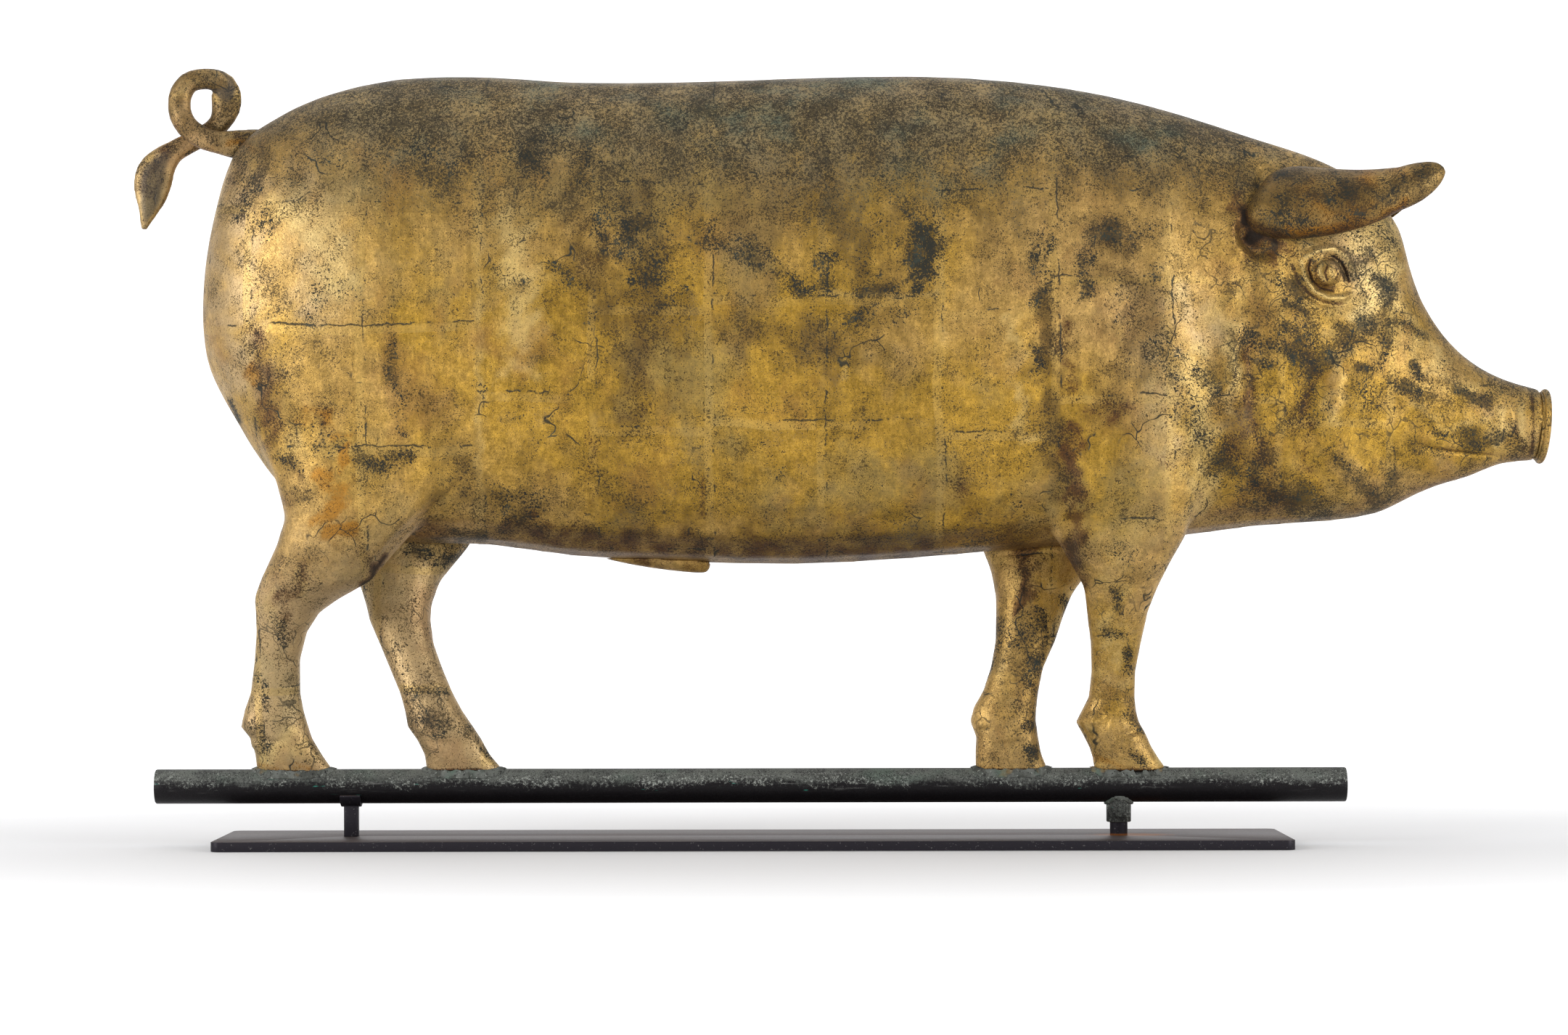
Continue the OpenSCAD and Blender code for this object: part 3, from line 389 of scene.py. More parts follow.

# Weathering of the near flank, in the same way, with painted highlights and painted shade among it
WEATHER = {
    "worn": drawn(
        (24, 1.35, 1270, 318, 1276, 345, 1274, 372), (9, 1.3, 1258, 398, 1270, 392), (13, 0.8, 1268, 308, 1290, 322),
        (12, 0.9, 1427, 332, 1432, 364), (11, 0.8, 1448, 320, 1450, 350), (12, 0.85, 1499, 335, 1497, 365, 1495, 402),
        (12, 0.8, 1510, 330, 1540, 312), (22, 0.45, 1540, 330, 1580, 318), (9, 0.8, 1444, 392, 1430, 410, 1424, 424),
        (7, 0.8, 1428, 482, 1438, 500, 1430, 512), (13, 0.85, 1140, 345, 1142, 375, 1134, 398),
        (9, 1.0, 1108, 402, 1120, 398), (9, 0.8, 1170, 440, 1190, 436), (9, 0.7, 1180, 400, 1240, 402),
        (14, 0.8, 733, 196, 739, 216, 734, 244), (13, 0.7, 804, 214, 808, 252),
        (34, 0.62, 850, 300, 880, 352, 905, 384), (9, 0.9, 870, 384, 912, 384), (10, 0.8, 826, 300, 832, 345),
        (16, 0.6, 770, 372, 800, 392), (12, 0.75, 975, 318, 980, 346), (20, 0.6, 1000, 330, 1060, 360),
        (10, 0.8, 1080, 380, 1100, 395), (12, 0.5, 690, 375, 720, 385),
        (10, 0.5, 537, 460, 538, 500, 552, 560, 558, 600), (14, 0.65, 500, 634, 530, 640, 556, 634),
        (9, 0.9, 385, 632, 412, 645), (16, 0.6, 330, 215, 350, 260, 330, 300),
        (24, 0.35, 570, 200, 600, 235, 640, 220), (14, 0.7, 590, 740, 625, 752, 660, 735),
        (20, 0.5, 690, 690, 740, 700, 700, 720), (4, 1.1, 318, 552, 330, 580), (14, 0.95, 1712, 452, 1722, 470),
        (15, 0.85, 1755, 470, 1778, 490, 1800, 502), (9, 0.9, 1776, 448, 1790, 478), (12, 0.8, 1740, 480, 1752, 500),
        (14, 0.75, 1815, 497, 1840, 492), (6, 1.2, 1874, 505, 1884, 506),
        (13, 0.75, 1884, 452, 1906, 458, 1912, 478, 1904, 496), (12, 0.7, 1850, 460, 1870, 470),
        (14, 1.0, 1906, 385, 1914, 400, 1914, 420), (9, 1.0, 1880, 438, 1896, 440), (10, 0.9, 1936, 452, 1960, 462),
        (8, 1.0, 1950, 506, 1960, 520), (12, 0.85, 1932, 528, 1956, 538), (15, 0.38, 1872, 348, 1890, 352, 1925, 345),
        (14, 0.38, 1870, 380, 1884, 400), (10, 0.95, 2015, 540, 2040, 552, 2060, 548),
        (14, 0.66, 1985, 596, 2030, 606, 2066, 602), (8, 0.7, 1950, 612, 1990, 630), (10, 0.6, 1914, 660, 1912, 686),
        (14, 0.75, 1850, 636, 1876, 652), (12, 0.75, 1770, 380, 1786, 404), (4, 1.0, 1772, 416, 1800, 432),
        (26, 0.42, 1600, 470, 1640, 560), (14, 0.7, 1655, 500, 1672, 552), (28, 0.7, 1690, 640, 1740, 670),
        (8, 0.6, 2084, 585, 2086, 622), (24, 0.62, 1780, 690, 1830, 700), (18, 0.55, 1862, 650, 1890, 690),
        (16, 0.5, 1644, 560, 1660, 600), (12, 0.55, 1440, 960, 1424, 1000), (10, 0.55, 1556, 985, 1572, 1000),
        (9, 0.6, 352, 1000, 366, 1030), (7, 0.5, 560, 952, 590, 956, 620, 950),
        (16, 0.4, 572, 985, 604, 1000, 640, 1010), (8, 0.9, 665, 1030, 690, 1050), (10, 0.6, 380, 850, 390, 880),
        (8, 0.6, 355, 930, 370, 980), (9, 0.8, 1535, 820, 1545, 840), (10, 0.8, 1556, 905, 1560, 925),
        (9, 0.7, 1528, 868, 1542, 874), (16, 0.55, 1440, 850, 1430, 940), (9, 0.8, 1415, 1030, 1422, 1048),
        (8, 0.9, 1560, 1035, 1575, 1048),
    ),
    "rust": drawn(
        (10, 1.6, 475, 622, 476, 640), (22, 1.0, 452, 655, 466, 690, 450, 712), (15, 1.15, 456, 728, 478, 736),
        (14, 0.75, 415, 578, 450, 570, 470, 600), (10, 0.95, 352, 510, 350, 522), (12, 0.85, 316, 196, 342, 206),
        (8, 0.7, 335, 1052, 430, 1062), (7, 0.7, 1500, 1045, 1570, 1062), (6, 0.7, 1348, 1060, 1420, 1064),
        (40, 0.32, 850, 300, 800, 380, 790, 430), (40, 0.28, 1540, 480, 1500, 560),
    ),
    # Stains on legs, belly and tail, and painted shade: in the valleys of neck, jaw and cheek, the haunch fold, the
    # recess under the ear, the eye's grooves, between the fore legs, and the gaps where the hooves meet the tube and
    # the snout disc meets the head
    "stain_and_shade": drawn(
        (18, 0.62, 352, 460, 362, 510, 370, 560, 372, 606), (12, 0.5, 440, 560, 452, 588),
        (14, 0.5, 395, 640, 412, 650, 404, 690), (19, 0.75, 420, 784, 398, 824, 384, 862),
        (12, 0.5, 495, 745, 520, 800), (24, 0.72, 700, 722, 800, 742, 900, 756, 1100, 764, 1290, 764),
        (12, 0.5, 812, 600, 816, 640, 810, 700), (6, 0.7, 968, 660, 970, 710),
        (16, 1.0, 1474, 600, 1484, 680, 1482, 750, 1486, 800), (12, 0.6, 1462, 440, 1476, 530),
        (14, 0.6, 1500, 560, 1530, 572, 1560, 560), (22, 0.4, 1320, 640, 1340, 730),
        (26, 0.6, 1700, 620, 1720, 660, 1760, 690), (18, 0.45, 1790, 580, 1796, 640, 1830, 690),
        (28, 0.4, 1600, 600, 1640, 680, 1700, 720), (11, 1.7, 1714, 292, 1718, 318, 1732, 330, 1758, 334),
        (20, 0.85, 1706, 284, 1708, 330, 1724, 348, 1772, 344), (10, 0.5, 1700, 520, 1712, 600),
        (60, 0.25, 880, 470, 890, 560), (9, 0.75, 1722, 480, 1722, 560, 1744, 640),
        (11, 0.75, 1812, 500, 1800, 560, 1800, 640), (2.0, 2.2, 383, 1063, 440, 1065),
        (2.0, 2.2, 596, 1062, 662, 1061), (1.8, 2.1, 1352, 1061, 1428, 1061), (1.8, 2.1, 1518, 1062, 1592, 1062),
        (2.2, 1.7, 1807, 358, 1804, 370, 1809, 386, 1820, 397, 1838, 401),
        (1.9, 1.7, 1838, 353, 1849, 360, 1856, 374, 1860, 388),
        (5.5, 0.8, 1812, 362, 1814, 380, 1824, 392, 1838, 396), (4.5, 0.75, 1836, 358, 1848, 368, 1852, 384),
        (1.7, 1.5, 1830, 367, 1827, 376, 1830, 385), (1.4, 1.0, 1842, 369, 1845, 377, 1841, 385),
        (3.0, 0.9, 1782, 366, 1791, 390, 1808, 407, 1826, 416, 1850, 419), (2.5, 1.5, 2112, 540, 2112, 628),
        (8, 0.7, 2086, 590, 2100, 620), (12, 0.7, 230, 170, 220, 215, 200, 265), (22, 0.5, 335, 215, 345, 300),
        (10, 0.6, 330, 182, 360, 196), (3.6, 0.5, 640, 655, 575, 717, 532, 765),
        (4.5, 1.6, 532, 765, 514, 790, 508, 806), (6, 1.7, 516, 782, 510, 800, 498, 808),
        (9, 1.5, 1480, 780, 1470, 830),
    ),
    # Rubbed gold, and mostly painted highlights: on the eye's ball and lids, the rump, the barrel, the ridges of
    # neck, jaw and cheek, the forehead, the snout and the hooves
    "rub_and_highlight": drawn(
        (5, 1.0, 1822, 362, 1818, 374, 1824, 384), (5, 0.8, 1835, 372, 1837, 380),
        (4.0, 1.1, 1794, 360, 1801, 384, 1813, 401, 1830, 409, 1852, 409),
        (4.0, 1.1, 1800, 354, 1818, 345, 1838, 343, 1855, 353, 1865, 372),
        (36, 0.85, 400, 290, 450, 330, 470, 400, 440, 300), (16, 0.6, 480, 270, 460, 300),
        (20, 0.5, 425, 400, 470, 415), (9, 0.55, 662, 250, 662, 420, 660, 600, 664, 720),
        (28, 0.95, 705, 280, 712, 360, 722, 440, 716, 500), (26, 0.42, 1606, 250, 1612, 350, 1625, 440),
        (13, 1.0, 1696, 455, 1700, 490, 1700, 560), (26, 1.0, 1652, 500, 1660, 560, 1654, 690),
        (16, 0.8, 1846, 490, 1838, 575), (22, 1.4, 1866, 330, 1900, 312, 1915, 345, 1896, 400, 1886, 430),
        (12, 0.7, 1925, 410, 1955, 455, 1990, 500), (16, 0.5, 1925, 420, 1960, 500, 2020, 530),
        (14, 0.6, 1395, 430, 1402, 520, 1410, 600), (6, 0.6, 1165, 497, 1167, 518), (18, 0.5, 1600, 440, 1606, 620),
        (7, 0.4, 1302, 300, 1300, 500), (6, 0.6, 1100, 402, 1240, 408, 1290, 406), (30, 0.3, 1020, 640, 1080, 690),
        (10, 0.8, 2072, 565, 2066, 612), (6, 0.9, 2098, 560, 2098, 615), (22, 0.5, 1760, 320, 1800, 330, 1840, 322),
        (18, 0.4, 1690, 470, 1705, 420, 1740, 380), (18, 0.45, 1375, 780, 1378, 900, 1384, 1000),
        (26, 0.6, 1550, 740, 1530, 820, 1535, 940), (14, 0.5, 1960, 560, 2000, 584, 2050, 590),
        (12, 1.0, 408, 786, 412, 812), (12, 0.6, 372, 820, 384, 866), (20, 0.9, 395, 1010, 420, 1030, 370, 1040),
        (8, 0.8, 690, 900, 700, 960), (12, 0.5, 1545, 850, 1558, 890), (6, 1.1, 1592, 1030, 1600, 1050),
        (6, 0.8, 1500, 1000, 1506, 1006), (5, 0.7, 230, 150, 268, 108, 300, 140),
    ),
    "glaze": drawn(
        (60, 0.7, 620, 180, 760, 200, 900, 190, 1100, 200, 1320, 190), (46, 0.85, 770, 260, 800, 340, 850, 430),
        (40, 0.8, 880, 260, 890, 400, 860, 560), (50, 0.6, 1000, 260, 1040, 320),
        (46, 0.7, 1130, 260, 1200, 350, 1220, 440), (34, 0.7, 1000, 450, 1120, 470, 1250, 500),
        (40, 0.4, 1170, 560, 1290, 600, 1320, 680), (26, 0.5, 930, 420, 925, 560),
        (30, 0.55, 590, 560, 640, 640, 690, 700), (36, 0.4, 730, 640, 880, 690),
        (30, 0.8, 700, 735, 900, 752, 1290, 760), (46, 0.8, 1450, 220, 1560, 250, 1640, 230),
        (46, 0.85, 1530, 330, 1560, 430, 1530, 560), (26, 0.9, 1445, 430, 1452, 560, 1462, 680),
        (34, 0.4, 1560, 560, 1530, 660, 1510, 720), (40, 0.5, 1350, 260, 1360, 330), (30, 0.3, 1310, 440, 1330, 480),
        (40, 0.7, 1700, 590, 1720, 660, 1780, 690), (26, 0.5, 1740, 360, 1750, 430), (22, 0.6, 1800, 560, 1790, 620),
        (22, 0.3, 1960, 600, 2060, 620), (20, 0.5, 370, 470, 380, 560), (22, 0.45, 300, 300, 300, 440),
        (40, 0.8, 330, 200, 420, 180, 520, 170), (26, 0.35, 560, 640, 600, 700),
        (46, 0.55, 1395, 740, 1440, 800, 1400, 900, 1420, 1040), (20, 0.4, 500, 880, 560, 960),
        (16, 0.3, 430, 900, 400, 1000), (18, 0.85, 345, 190, 250, 180, 235, 120, 275, 100, 320, 130, 300, 170),
        (24, 0.95, 230, 200, 200, 260),
    ),
    # Greyed leaf on the rump, the neck and the snout; the stroke on the forehead paints its highlight
    "pale": drawn(
        (50, 0.8, 330, 240, 320, 400, 330, 520), (46, 0.6, 420, 260, 440, 340, 430, 420),
        (40, 0.5, 1560, 420, 1600, 500, 1610, 620), (40, 0.6, 1620, 420, 1660, 470), (40, 0.8, 1860, 330, 1900, 400),
        (30, 0.4, 2040, 560, 2110, 600),
    ),
    "seams": drawn(
        (12, 0.9, 399, 447, 455, 447, 648, 449), (9, 1.0, 653, 446, 653, 500), (9, 1.2, 651, 570, 652, 616),
        (10, 0.9, 430, 614, 560, 615, 648, 614), (12, 0.9, 1090, 578, 1180, 578, 1290, 580),
        (9, 0.8, 1140, 330, 1142, 405), (8, 0.6, 1166, 430, 1166, 500), (10, 0.7, 1130, 408, 1250, 406),
        (8, 1.2, 970, 640, 970, 712), (12, 0.9, 1330, 266, 1400, 264, 1452, 264), (10, 0.9, 1455, 266, 1455, 392),
        (12, 0.8, 1460, 432, 1460, 520), (10, 1.0, 1600, 558, 1700, 560), (10, 1.0, 1772, 420, 1800, 428),
        (10, 0.5, 815, 640, 815, 720),
    ),
    "warm": drawn(
        (120, 1.0, 760, 480, 900, 600, 1100, 560, 1300, 640), (70, 0.9, 1440, 560, 1520, 700),
        (70, 0.8, 1680, 600, 1800, 660), (60, 0.4, 560, 460, 600, 560), (60, 0.8, 1780, 560, 1900, 600, 2000, 600),
        (40, 0.7, 1530, 780, 1540, 960),
    ),
}


def painted(mesh, strokes=WEATHER, dulled=1.0):
    """Paints the weathering on a mesh, as one attribute for each layer, with painted highlights and painted shade
    among it.
    """
    co = places(mesh)
    x, y, z = co.T
    down = -normals(mesh)[:, 2]
    px, py = on_photo(co)
    # The far flank weathers alike, but a little out of step, apart from the head
    drift = (y > 0.004) * ease(x, 0.10, 0.02)
    px = px + drift * (47 * np.sin(px / 190) + 22)
    py = py + drift * 14 * np.sin(px / 130)
    # Wavering in place and in strength keeps the broad strokes from looking drawn
    waver_x = 7 * np.sin(py / 11 + 1.7 * np.sin(px / 19)) + 4 * np.sin(px / 6.3 + py / 4.9)
    waver_y = 7 * np.sin(px / 12.7 + 1.9 * np.sin(py / 16)) + 4 * np.sin(py / 5.7 - px / 7.1)
    thin = 1 + 0.35 * np.sin(px / 8.1 + 2 * np.sin(py / 23)) * np.sin(py / 9.7 + 2 * np.sin(px / 31))
    layers = {}
    for layer in LAYERS:
        layers[layer] = np.zeros(len(co))
        for line, width, strength in strokes.get(layer, ()):
            loose = np.clip((width - 4) / 10, 0, 1) * (strength < 2)
            weight = brush(px + loose * waver_x, py + loose * waver_y, line, width, 0)
            layers[layer] = np.maximum(layers[layer], strength * weight * (1 + loose * (thin - 1)))
    # The back grows dull, faces that look down are darkened, and the legs and the rump are pale
    top = ease(down, -0.10, -0.95)
    rump = ease(x, -0.47, -0.60)
    tail = ease(x, -0.588, -0.606) * ease(z, 0.41, 0.42)
    trunk = ease(x, 0.19, 0.05)
    soot = np.clip(1.05 * ease(z, 0.40 + 0.03 * rump, 0.505) + 0.25 * top, 0, 1.1)
    soot = soot * trunk * (1 - 0.35 * rump) * (1 - 0.75 * tail)
    layers["soot"] = dulled * np.maximum(soot, 0.7 * top * (1 - trunk))
    for layer, amount in (
        ("glaze", 0.55 * ease(z, 0.36, 0.45) * trunk * (1 - tail)),
        ("stain_and_shade", 0.6 * ease(down, 0.35, 1.0) * ease(z, 0.15, 0.2)),
        ("pale", ease(z, 0.24, 0.15) * (0.25 + 0.75 * ease(x, -0.35, -0.45))),
        ("pale", 0.7 * tail),
    ):
        layers[layer] = np.maximum(layers[layer], amount)
    for name, values in layers.items():
        attribute = mesh.attributes.new(name, "FLOAT", "POINT")
        attribute.data.foreach_set("value", values.astype(np.float32))


# Materials


class Recipe:
    """Adds nodes to a new material and joins them."""

    def __init__(self, name):
        self.material = bpy.data.materials.new(name)
        self.material.use_nodes = True
        self.tree = self.material.node_tree
        self.tree.nodes.clear()
        self.shader = self.node("BsdfPrincipled")
        output = self.node("OutputMaterial")
        self.tree.links.new(self.shader.outputs["BSDF"], output.inputs["Surface"])
        self.place = self.node("TexCoord").outputs["Object"]

    def node(self, kind, values=None, **details):
        node = self.tree.nodes.new("ShaderNode" + kind)
        for key, value in details.items():
            setattr(node, key, value)
        for key, value in (values or {}).items():
            self.put(node.inputs[key], value)
        return node

    def put(self, socket, value):
        if isinstance(value, bpy.types.NodeSocket):
            self.tree.links.new(value, socket)
        elif socket.type == "RGBA" and len(value) == 3:
            socket.default_value = (*value, 1)
        else:
            socket.default_value = value

    def math(self, kind, a, b=0.0):
        return self.node("Math", {0: a, 1: b}, operation=kind).outputs[0]

    def folded(self, kind, values):
        """One value from several, which are taken from left to right."""
        total = values[0]
        for value in values[1:]:
            total = self.math(kind, total, value)
        return total

    def add(self, *values):
        return self.folded("ADD", values)

    def times(self, *values):
        return self.folded("MULTIPLY", values)

    def most(self, *values):
        return self.folded("MAXIMUM", values)

    def swing(self, value, reach):
        """A value that lies about a half, brought to swing about nothing."""
        return self.times(self.add(value, -0.5), reach)

    def ramp(self, value, low, high, start=0.0, end=1.0):
        values = {"Value": value, "From Min": low, "From Max": high, "To Min": start, "To Max": end}
        return self.node("MapRange", values, interpolation_type="SMOOTHSTEP").outputs[0]

    def mix(self, amount, a, b, kind="MIX"):
        node = self.node("Mix", data_type="RGBA", blend_type=kind)
        for socket, value in ((node.inputs[0], amount), (node.inputs[6], a), (node.inputs[7], b)):
            self.put(socket, value)
        return node.outputs[2]

    def laid(self, under, colour, cover, amount=None):
        """A colour laid over another where it covers, and no more than some amount."""
        return self.mix(cover if amount is None else self.times(cover, amount), under, colour)

    def stretched(self, scale, shift=(0.0, 0.0, 0.0)):
        return self.node("Mapping", {"Vector": self.place, "Scale": scale, "Location": shift}).outputs[0]

    def moved(self, x, y, z):
        return self.stretched((1, 1, 1), (x, y, z))

    def noise(self, scale, detail=2.0, rough=0.5, place=None, warp=0.0, output=0):
        values = {"Vector": place or self.place, "Scale": scale, "Detail": detail}
        values.update({"Roughness": rough, "Distortion": warp})
        return self.node("TexNoise", values).outputs[output]

    def edges(self, place, scale):
        """How far a place lies from the edges of a network of cells."""
        return self.node("TexVoronoi", {"Vector": place, "Scale": scale}, feature="DISTANCE_TO_EDGE").outputs[0]

    def joined(self, x, y, z=0.0):
        return self.node("CombineXYZ", {0: x, 1: y, 2: z}).outputs[0]

    def reach(self, x, y):
        """How far a place lies from the origin of two values."""
        return self.node("VectorMath", {0: self.joined(x, y)}, operation="LENGTH").outputs["Value"]

    def attribute(self, name):
        return self.node("Attribute", attribute_name=name, attribute_type="GEOMETRY").outputs["Fac"]

    def axes(self):
        return self.node("SeparateXYZ", {0: self.place}).outputs

    def bump(self, height, distance, strength=1.0, under=None):
        values = {"Height": height, "Distance": distance, "Strength": strength}
        if under is not None:
            values["Normal"] = under
        return self.node("Bump", values).outputs[0]

    def done(self, tint, rough, metal, normal, specular=0.5):
        values = {"Base Color": tint, "Roughness": rough, "Metallic": metal, "Normal": normal}
        for name, value in values.items():
            self.put(self.shader.inputs[name], value)
        self.shader.inputs["Specular IOR Level"].default_value = specular
        return self.material


# How far the rows of leaf are set off in each column from tail to snout, as a share of the pitch
LEAF_ROWS = (0.715, 0.715, 0.715, 0.30, 0.58, 0.50, 0.50, 0.62, 0.34, 0.31, 0.51, 0.20, 0.70)


def leaf_squares(r, pitch, lap):
    """Tint of each square of leaf, its overlap band and its cracked edge."""
    x, _, z = r.axes()
    wobble = r.swing(r.noise(9, 3, 0.6), 0.014)
    columns = len(LEAF_ROWS)
    column = r.math("DIVIDE", r.add(x, wobble, 0.28), pitch)
    node = r.node("ValToRGB", {"Fac": r.math("DIVIDE", r.add(r.math("FLOOR", column), 5.5), columns)})
    node.color_ramp.interpolation = "CONSTANT"
    stops = node.color_ramp.elements
    for i, shift in enumerate(LEAF_ROWS):
        stop = stops[i] if i < 2 else stops.new(i / columns)
        stop.position = i / columns
        stop.color = (shift, shift, shift, 1)
    row = r.add(r.math("DIVIDE", r.add(z, wobble), pitch * 1.055), node.outputs["Color"])
    cell = r.joined(r.math("FLOOR", column), r.math("FLOOR", row))
    tint = r.node("TexWhiteNoise", {"Vector": cell}, noise_dimensions="3D").outputs["Value"]
    ragged = r.swing(r.noise(120, 4, 0.7), 0.0050)
    bands, cracks = [], []
    for along in (column, row):
        into = r.add(r.times(r.math("FRACT", along), pitch), ragged)
        bands.append(r.ramp(into, lap - 0.0012, lap + 0.0012, 1.0, 0.0))
        cracks.append(r.ramp(r.math("ABSOLUTE", r.add(into, -lap - 0.0006)), 0.0001, 0.0010, 1.0, 0.0))
    return tint, r.most(*bands), r.most(*cracks)


def gilding(name, glazed=0.0):
    """Gold leaf on copper, glazed brown, specked, and worn through in patches, with painted highlights and painted
    shade in its colour.
    """
    s = settings("gilding")
    r = Recipe(name)
    x, y, z = r.axes()
    tint, band, crack = leaf_squares(r, s.leaf, s.lap)
    layer = {key: r.attribute(key) for key in LAYERS}
    broad = r.noise(7, 4, 0.6)
    patchy = r.noise(30, 5, 0.65)
    clump = r.noise(44, 4, 0.65, r.moved(0, 1.7, 0))
    grain = r.noise(640, 3, 0.75)
    fine = r.noise(1250, 2, 0.65)
    speckle = r.add(r.swing(grain, 1.5), r.swing(fine, 1.3))
    mottle = r.noise(190, 4, 0.7, r.stretched((1, 1, 0.8), (2.2, 0, 0)))
    peel = r.noise(430, 2, 0.6, r.moved(0, 0, 1.3))
    run = r.noise(1, 5, 0.65, r.stretched((44, 44, 9)))
    streak = r.noise(1, 3, 0.65, r.stretched((520, 520, 26)))
    weft = r.noise(1, 3, 0.65, r.stretched((40, 200, 560)))

    # Warm and dull leaf, square by square
    warm = r.ramp(r.add(broad, r.times(layer["warm"], 0.32)), 0.40, 0.72)
    gold = r.mix(warm, s.tan, s.yellow)
    for value in (
        r.ramp(tint, 0.0, 1.0, 0.90, 1.08),
        r.ramp(streak, 0.28, 0.72, 0.90, 1.10),
        r.ramp(weft, 0.25, 0.75, 0.92, 1.07),
        r.ramp(patchy, 0.28, 0.72, 0.88, 1.14),
        r.ramp(mottle, 0.32, 0.68, 0.76, 1.30),
        r.ramp(speckle, -0.4, 0.4, 0.62, 1.40),
    ):
        gold = r.mix(1.0, gold, r.node("CombineColor", {i: value for i in range(3)}).outputs[0], "MULTIPLY")
    # Greyed leaf, and on the forehead a painted highlight
    pale = r.ramp(r.add(layer["pale"], r.swing(patchy, 1.0), r.times(speckle, 0.5)), 0.0, 1.0)
    gold = r.laid(gold, s.pale, pale, 0.75)
    lapped = r.times(band, r.ramp(r.add(patchy, r.times(tint, 0.2)), 0.42, 0.68))
    gold = r.laid(gold, (0.55, 0.36, 0.10), lapped, 0.38)
    # Rubbed gold, and the painted highlights
    shine = r.add(layer["rub_and_highlight"], r.swing(patchy, 0.9), r.times(speckle, 0.5))
    gold = r.laid(gold, s.bright, r.ramp(shine, 0.10, 1.1), 0.62)

    # Reddish and olive tints, brown glaze in runs and clouds, and stains, which also paint shade into creases and
    # valleys
    reddish = r.ramp(r.noise(19, 4, 0.65, r.stretched((1, 1, 0.7), (1.3, 0, 6.1))), 0.50, 0.66)
    gold = r.laid(gold, (0.235, 0.105, 0.040), reddish, 0.34)
    olive = r.ramp(r.noise(13, 4, 0.65, r.stretched((1, 1, 0.8), (0, 5.2, 3.3))), 0.50, 0.66)
    gold = r.laid(gold, (0.250, 0.215, 0.105), olive, 0.34)
    cloud = r.add(r.swing(broad, 1.2), r.swing(run, 1.5), r.swing(patchy, 1.2), r.times(speckle, 0.7))
    glaze = r.add(r.times(layer["glaze"], 0.85), glazed, cloud)
    gold = r.laid(gold, s.glaze, r.ramp(glaze, 0.0, 1.05), 0.80)
    rust = r.add(layer["rust"], r.swing(clump, 1.3), r.times(speckle, 0.9))
    gold = r.laid(gold, s.rust, r.ramp(rust, 0.30, 1.0), 0.80)
    # Brown stains, and painted shade in the valleys of neck and head, in the haunch fold and under the ear
    stain_and_shade = r.add(r.times(layer["stain_and_shade"], 1.12), r.swing(run, 0.9), r.times(speckle, 1.5))
    gold = r.laid(gold, s.stain_and_shade, r.ramp(stain_and_shade, 0.18, 1.05), 0.82)
    dull = r.add(layer["soot"], r.swing(broad, 1.3), r.swing(patchy, 1.0), r.swing(run, 0.7), r.times(speckle, 1.1))
    dull = r.ramp(dull, 0.10, 1.15)
    gold = r.laid(gold, s.soot, dull, 0.66)
    pitted = r.times(r.ramp(r.add(peel, r.swing(fine, 0.5)), 0.48, 0.56), r.add(r.times(dull, 0.60), 0.10))
    gold = r.laid(gold, (0.034, 0.030, 0.020), pitted)
    greens = r.ramp(r.noise(15, 4, 0.6, r.moved(3.1, 0, 0)), 0.50, 0.70)
    gold = r.laid(gold, (0.075, 0.120, 0.092), r.times(greens, r.add(0.06, r.times(dull, 0.62))))

    # Fine black specks, denser where the surface is dull or worn
    crowd = r.add(
        r.times(dull, 0.075),
        r.swing(clump, 0.48),
        r.swing(mottle, 0.18),
        r.times(r.math("MINIMUM", layer["worn"], 1.0), 0.16),
        r.times(r.most(layer["stain_and_shade"], layer["glaze"]), 0.035),
        r.times(r.ramp(x, 0.02, 0.10), 0.028),
    )
    edge = r.math("SUBTRACT", 0.612, crowd)
    coarse = r.ramp(r.math("SUBTRACT", grain, edge), -0.005, 0.022)
    small = r.ramp(r.math("SUBTRACT", fine, edge), -0.005, 0.022)
    speck = r.most(r.times(coarse, 0.9), r.times(small, 0.8))

    # Bare patches that break up into specks, cracked leaf edges and hairlines
    broken = r.add(r.swing(grain, 4.6), r.swing(r.noise(150, 4, 0.8), 2.6), r.swing(fine, 2.4))
    here = r.ramp(layer["worn"], 0.06, 0.32)
    level = r.times(layer["worn"], r.ramp(x, 0.02, 0.12, 0.84, 0.68))
    worn = r.times(r.ramp(r.add(level, broken), 0.62, 0.72), here)
    stray = r.ramp(r.noise(19, 2, 0.5, r.moved(0, 0, 5.3)), 0.56, 0.80)
    wild = r.times(r.ramp(r.add(r.times(stray, 0.9), broken), 0.70, 0.80), r.ramp(stray, 0.05, 0.3))
    open_edge = r.add(r.noise(46, 4, 0.7), r.times(clump, 0.4), r.times(layer["seams"], 0.16), r.times(speckle, 0.15))
    chipped = r.times(crack, r.ramp(open_edge, 0.74, 0.80))
    warped = r.noise(24, 3, output="Color")
    warped = r.node("VectorMath", {0: warped, "Scale": 0.055}, operation="SCALE").outputs[0]
    warped = r.node("VectorMath", {0: r.place, 1: warped}, operation="ADD").outputs[0]
    cell = r.edges(warped, 24)
    found = r.ramp(r.noise(23, 3, 0.6, r.moved(0, 4.1, 2.2)), 0.58, 0.63)
    hairline = r.times(r.ramp(cell, 0.005, 0.015, 1.0, 0.0), found)
